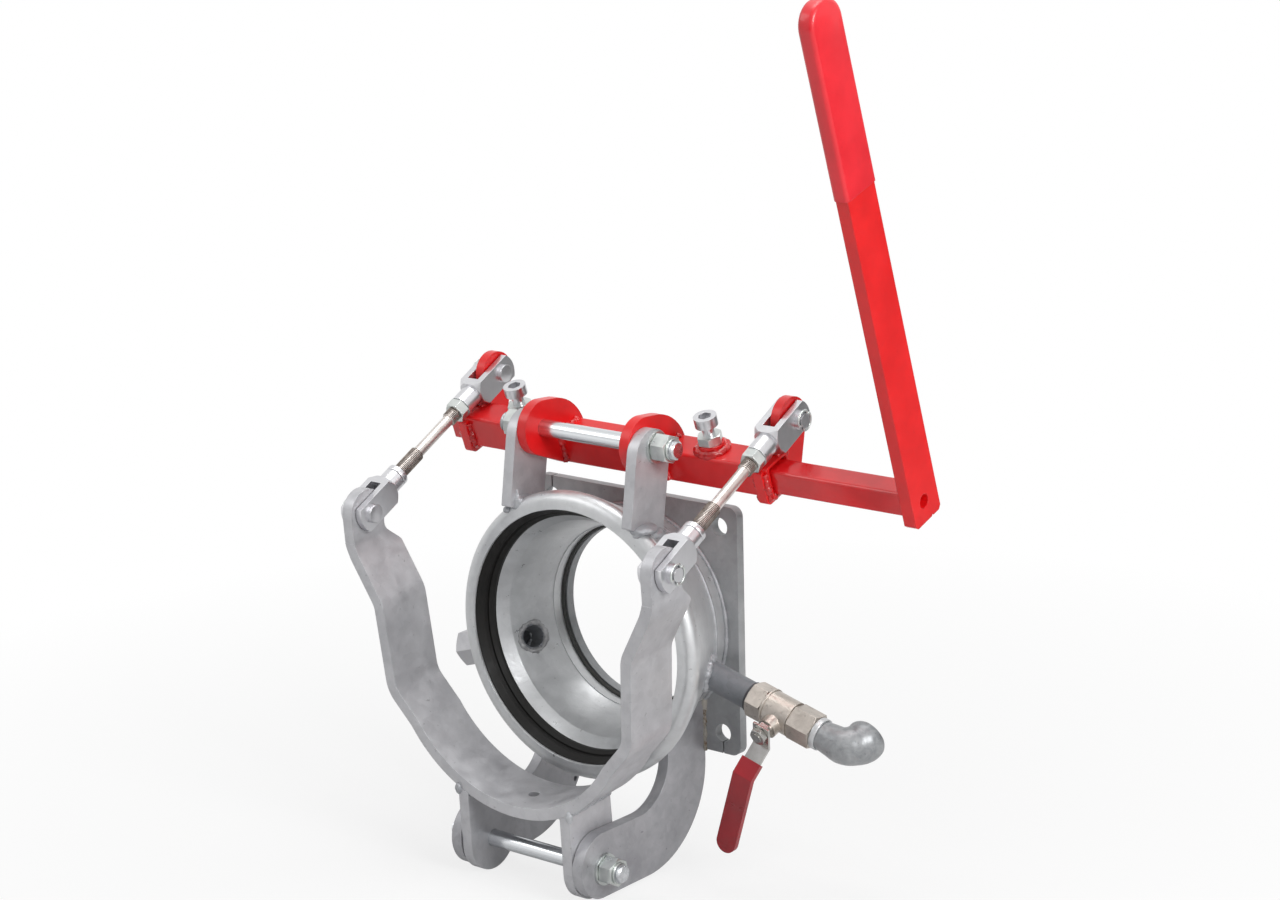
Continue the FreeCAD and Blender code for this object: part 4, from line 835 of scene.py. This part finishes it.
def bentPipe(name, stations):
    # A round body along a bent line, as wide at each point as its station says.
    curve = bpy.data.curves.new(name, "CURVE")
    curve.dimensions = "3D"
    curve.bevel_depth = 0.001  # a millimetre, which each point's own radius multiplies
    curve.bevel_resolution = 14
    curve.use_fill_caps = True
    spline = curve.splines.new("POLY")
    spline.points.add(len(stations) - 1)
    for point, (x, y, radius) in zip(spline.points, stations):
        point.co = (x / 1000, y / 1000, 0, 1)
        point.radius = radius
    piece = bpy.data.objects.new(name, curve)
    bpy.context.collection.objects.link(piece)
    pick(piece)
    bpy.ops.object.convert(target="MESH")
    return bpy.context.object


def onBend(angle):
    x, radius = elbowShape["bend"]
    return x + radius * math.sin(math.radians(angle)), radius * (1 - math.cos(math.radians(angle)))


corner = sum(elbowShape["bend"])
outside = [(x, 0, radius) for x, radius in elbowShape["neck"]]
outside += [(*onBend(angle), radius) for angle, radius in elbowShape["body"]]
outside += [(corner, y, radius) for y, radius in elbowShape["lip"]]
inside = [(x, 0, radius) for x, radius in elbowShape["bore"]]
inside += [(*onBend(angle), elbowShape["bore"][0][1]) for angle in range(10, 81, 10)]
inside += [(corner, y, radius) for y, radius in elbowShape["socket"]]
piece = bentPipe("cast_elbow", outside)
hollow = bentPipe("elbow_bore", inside)
apply(piece, "REMESH", mode="VOXEL", voxel_size=elbowShape["voxel"])
apply(hollow, "REMESH", mode="VOXEL", voxel_size=elbowShape["voxel"])
apply(piece, "BOOLEAN", object=hollow, operation="DIFFERENCE")
pick(hollow)
bpy.ops.object.delete()
rough(piece, elbowShape["voxel"], elbowShape["passes"], elbowShape["push"], elbowShape["grain"])
place(piece, rightPort)
complete(piece, "housing", finish["casting"], 80)
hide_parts("outlet_elbow")
print("valve details and elbow made")

# Floor, backdrop and lamps, in metres and watts.
studio = {"ambient": 0.16, "floorSize": 30, "floorGap": 0.0005, "seenFade": (0.3, 1.3, 0.8),
          "mirroredFade": (0.5, 1.6, 0.15)}
lamps = {  # place, target, size and power
    "right_softbox": ((2.8, -0.8, 1.6), (0, 0, 0.05), 1.3, 58.0),
    "left_softbox": ((-1.9, -2.1, 2.3), (0, 0, 0.05), 1.5, 16.0),
    "top_softbox": ((0.0, 0.2, 3.0), (0, 0, 0.1), 1.8, 38.0),
}
flags = {  # place, target, width, height and grey
    "front_flag": ((0.6, -3.0, -0.1), (0, 0, 0.2), 3.4, 1.2, 0.4),
    "back_right_flag": ((1.05, 1.25, -0.05), (0, 0, 0.2), 2.4, 1.4, 0.25),
}


def makeFlag(name, position, target, width, height, shade):
    # A dark cloth that only reflections see, as photographers put up for bare metal.
    bpy.ops.mesh.primitive_plane_add(size=1)
    flag = bpy.context.object
    flag.name = name
    flag.data.materials.append(bpy.data.materials.new(name))
    flag.data.materials[0].use_nodes = True
    shader = flag.data.materials[0].node_tree.nodes["Principled BSDF"]
    shader.inputs["Base Color"].default_value = (shade, shade, shade, 1)
    aim = Vector(position) - Vector(target)
    flag.matrix_world = (Matrix.Translation(position) @ aim.to_track_quat("Z", "Y").to_matrix().to_4x4()
                         @ Matrix.Diagonal((width, height, 1, 1)))
    flag.visible_camera = False
    flag.visible_diffuse = False
    flag.visible_shadow = False
    flag.visible_transmission = False


def makeFloor():
    # White wherever the camera or a mirror sees it far out, with the object's shadow near the middle.
    below = (0, 0, cadBox[0][2] - studio["floorGap"])
    bpy.ops.mesh.primitive_plane_add(size=studio["floorSize"], location=below)
    floor = bpy.context.object
    floor.name = "pale_floor"
    material = bpy.data.materials.new("pale_floor")
    material.use_nodes = True
    tree = material.node_tree
    tree.nodes.remove(tree.nodes["Principled BSDF"])
    path = tree.nodes.new("ShaderNodeLightPath")
    matt = tree.nodes.new("ShaderNodeBsdfDiffuse")
    matt.inputs["Color"].default_value = (0.9, 0.9, 0.9, 1)
    glow = tree.nodes.new("ShaderNodeEmission")
    glow.inputs["Strength"].default_value = 1.0
    both = tree.nodes.new("ShaderNodeMixShader")
    away = tree.nodes.new("ShaderNodeVectorMath")
    away.operation = "LENGTH"
    tree.links.new(tree.nodes.new("ShaderNodeTexCoord").outputs["Object"], away.inputs[0])
    straight = sums(tree, "MAXIMUM", path.outputs["Is Camera Ray"], path.outputs["Is Transmission Ray"])
    glowing = []
    for ray, fade in ((straight, "seenFade"), (path.outputs["Is Glossy Ray"], "mirroredFade")):
        near, far, least = studio[fade]
        strength = spread(tree, away.outputs["Value"], near, far, least, 1.0)
        glowing.append(sums(tree, "MULTIPLY", ray, strength))
    tree.links.new(sums(tree, "MAXIMUM", *glowing), both.inputs[0])
    tree.links.new(matt.outputs[0], both.inputs[1])
    tree.links.new(glow.outputs[0], both.inputs[2])
    tree.links.new(both.outputs[0], tree.nodes["Material Output"].inputs["Surface"])
    floor.data.materials.append(material)


def makeWorld():
    # White to the camera and in mirrors, dim as a light.
    world = bpy.data.worlds.new("white_studio")
    bpy.context.scene.world = world
    world.use_nodes = True
    tree = world.node_tree
    path = tree.nodes.new("ShaderNodeLightPath")
    seen = sums(tree, "MAXIMUM", path.outputs["Is Camera Ray"],
                sums(tree, "MAXIMUM", path.outputs["Is Glossy Ray"], path.outputs["Is Transmission Ray"]))
    background = tree.nodes["Background"]
    background.inputs["Color"].default_value = (1, 1, 1, 1)
    tree.links.new(spread(tree, seen, 0.0, 1.0, studio["ambient"], 1.0), background.inputs["Strength"])


def makeLamp(name, position, target, size, power):
    lamp = bpy.data.lights.new(name, "AREA")
    lamp.shape = "SQUARE"
    lamp.size = size
    lamp.energy = power
    holder = bpy.data.objects.new(name, lamp)
    bpy.context.collection.objects.link(holder)
    aim = Vector(position) - Vector(target)
    holder.matrix_world = Matrix.Translation(position) @ aim.to_track_quat("Z", "Y").to_matrix().to_4x4()


makeFloor()
makeWorld()
for name, settings in lamps.items():
    makeLamp(name, *settings)
for name, settings in flags.items():
    makeFlag(name, *settings)
print("studio made")
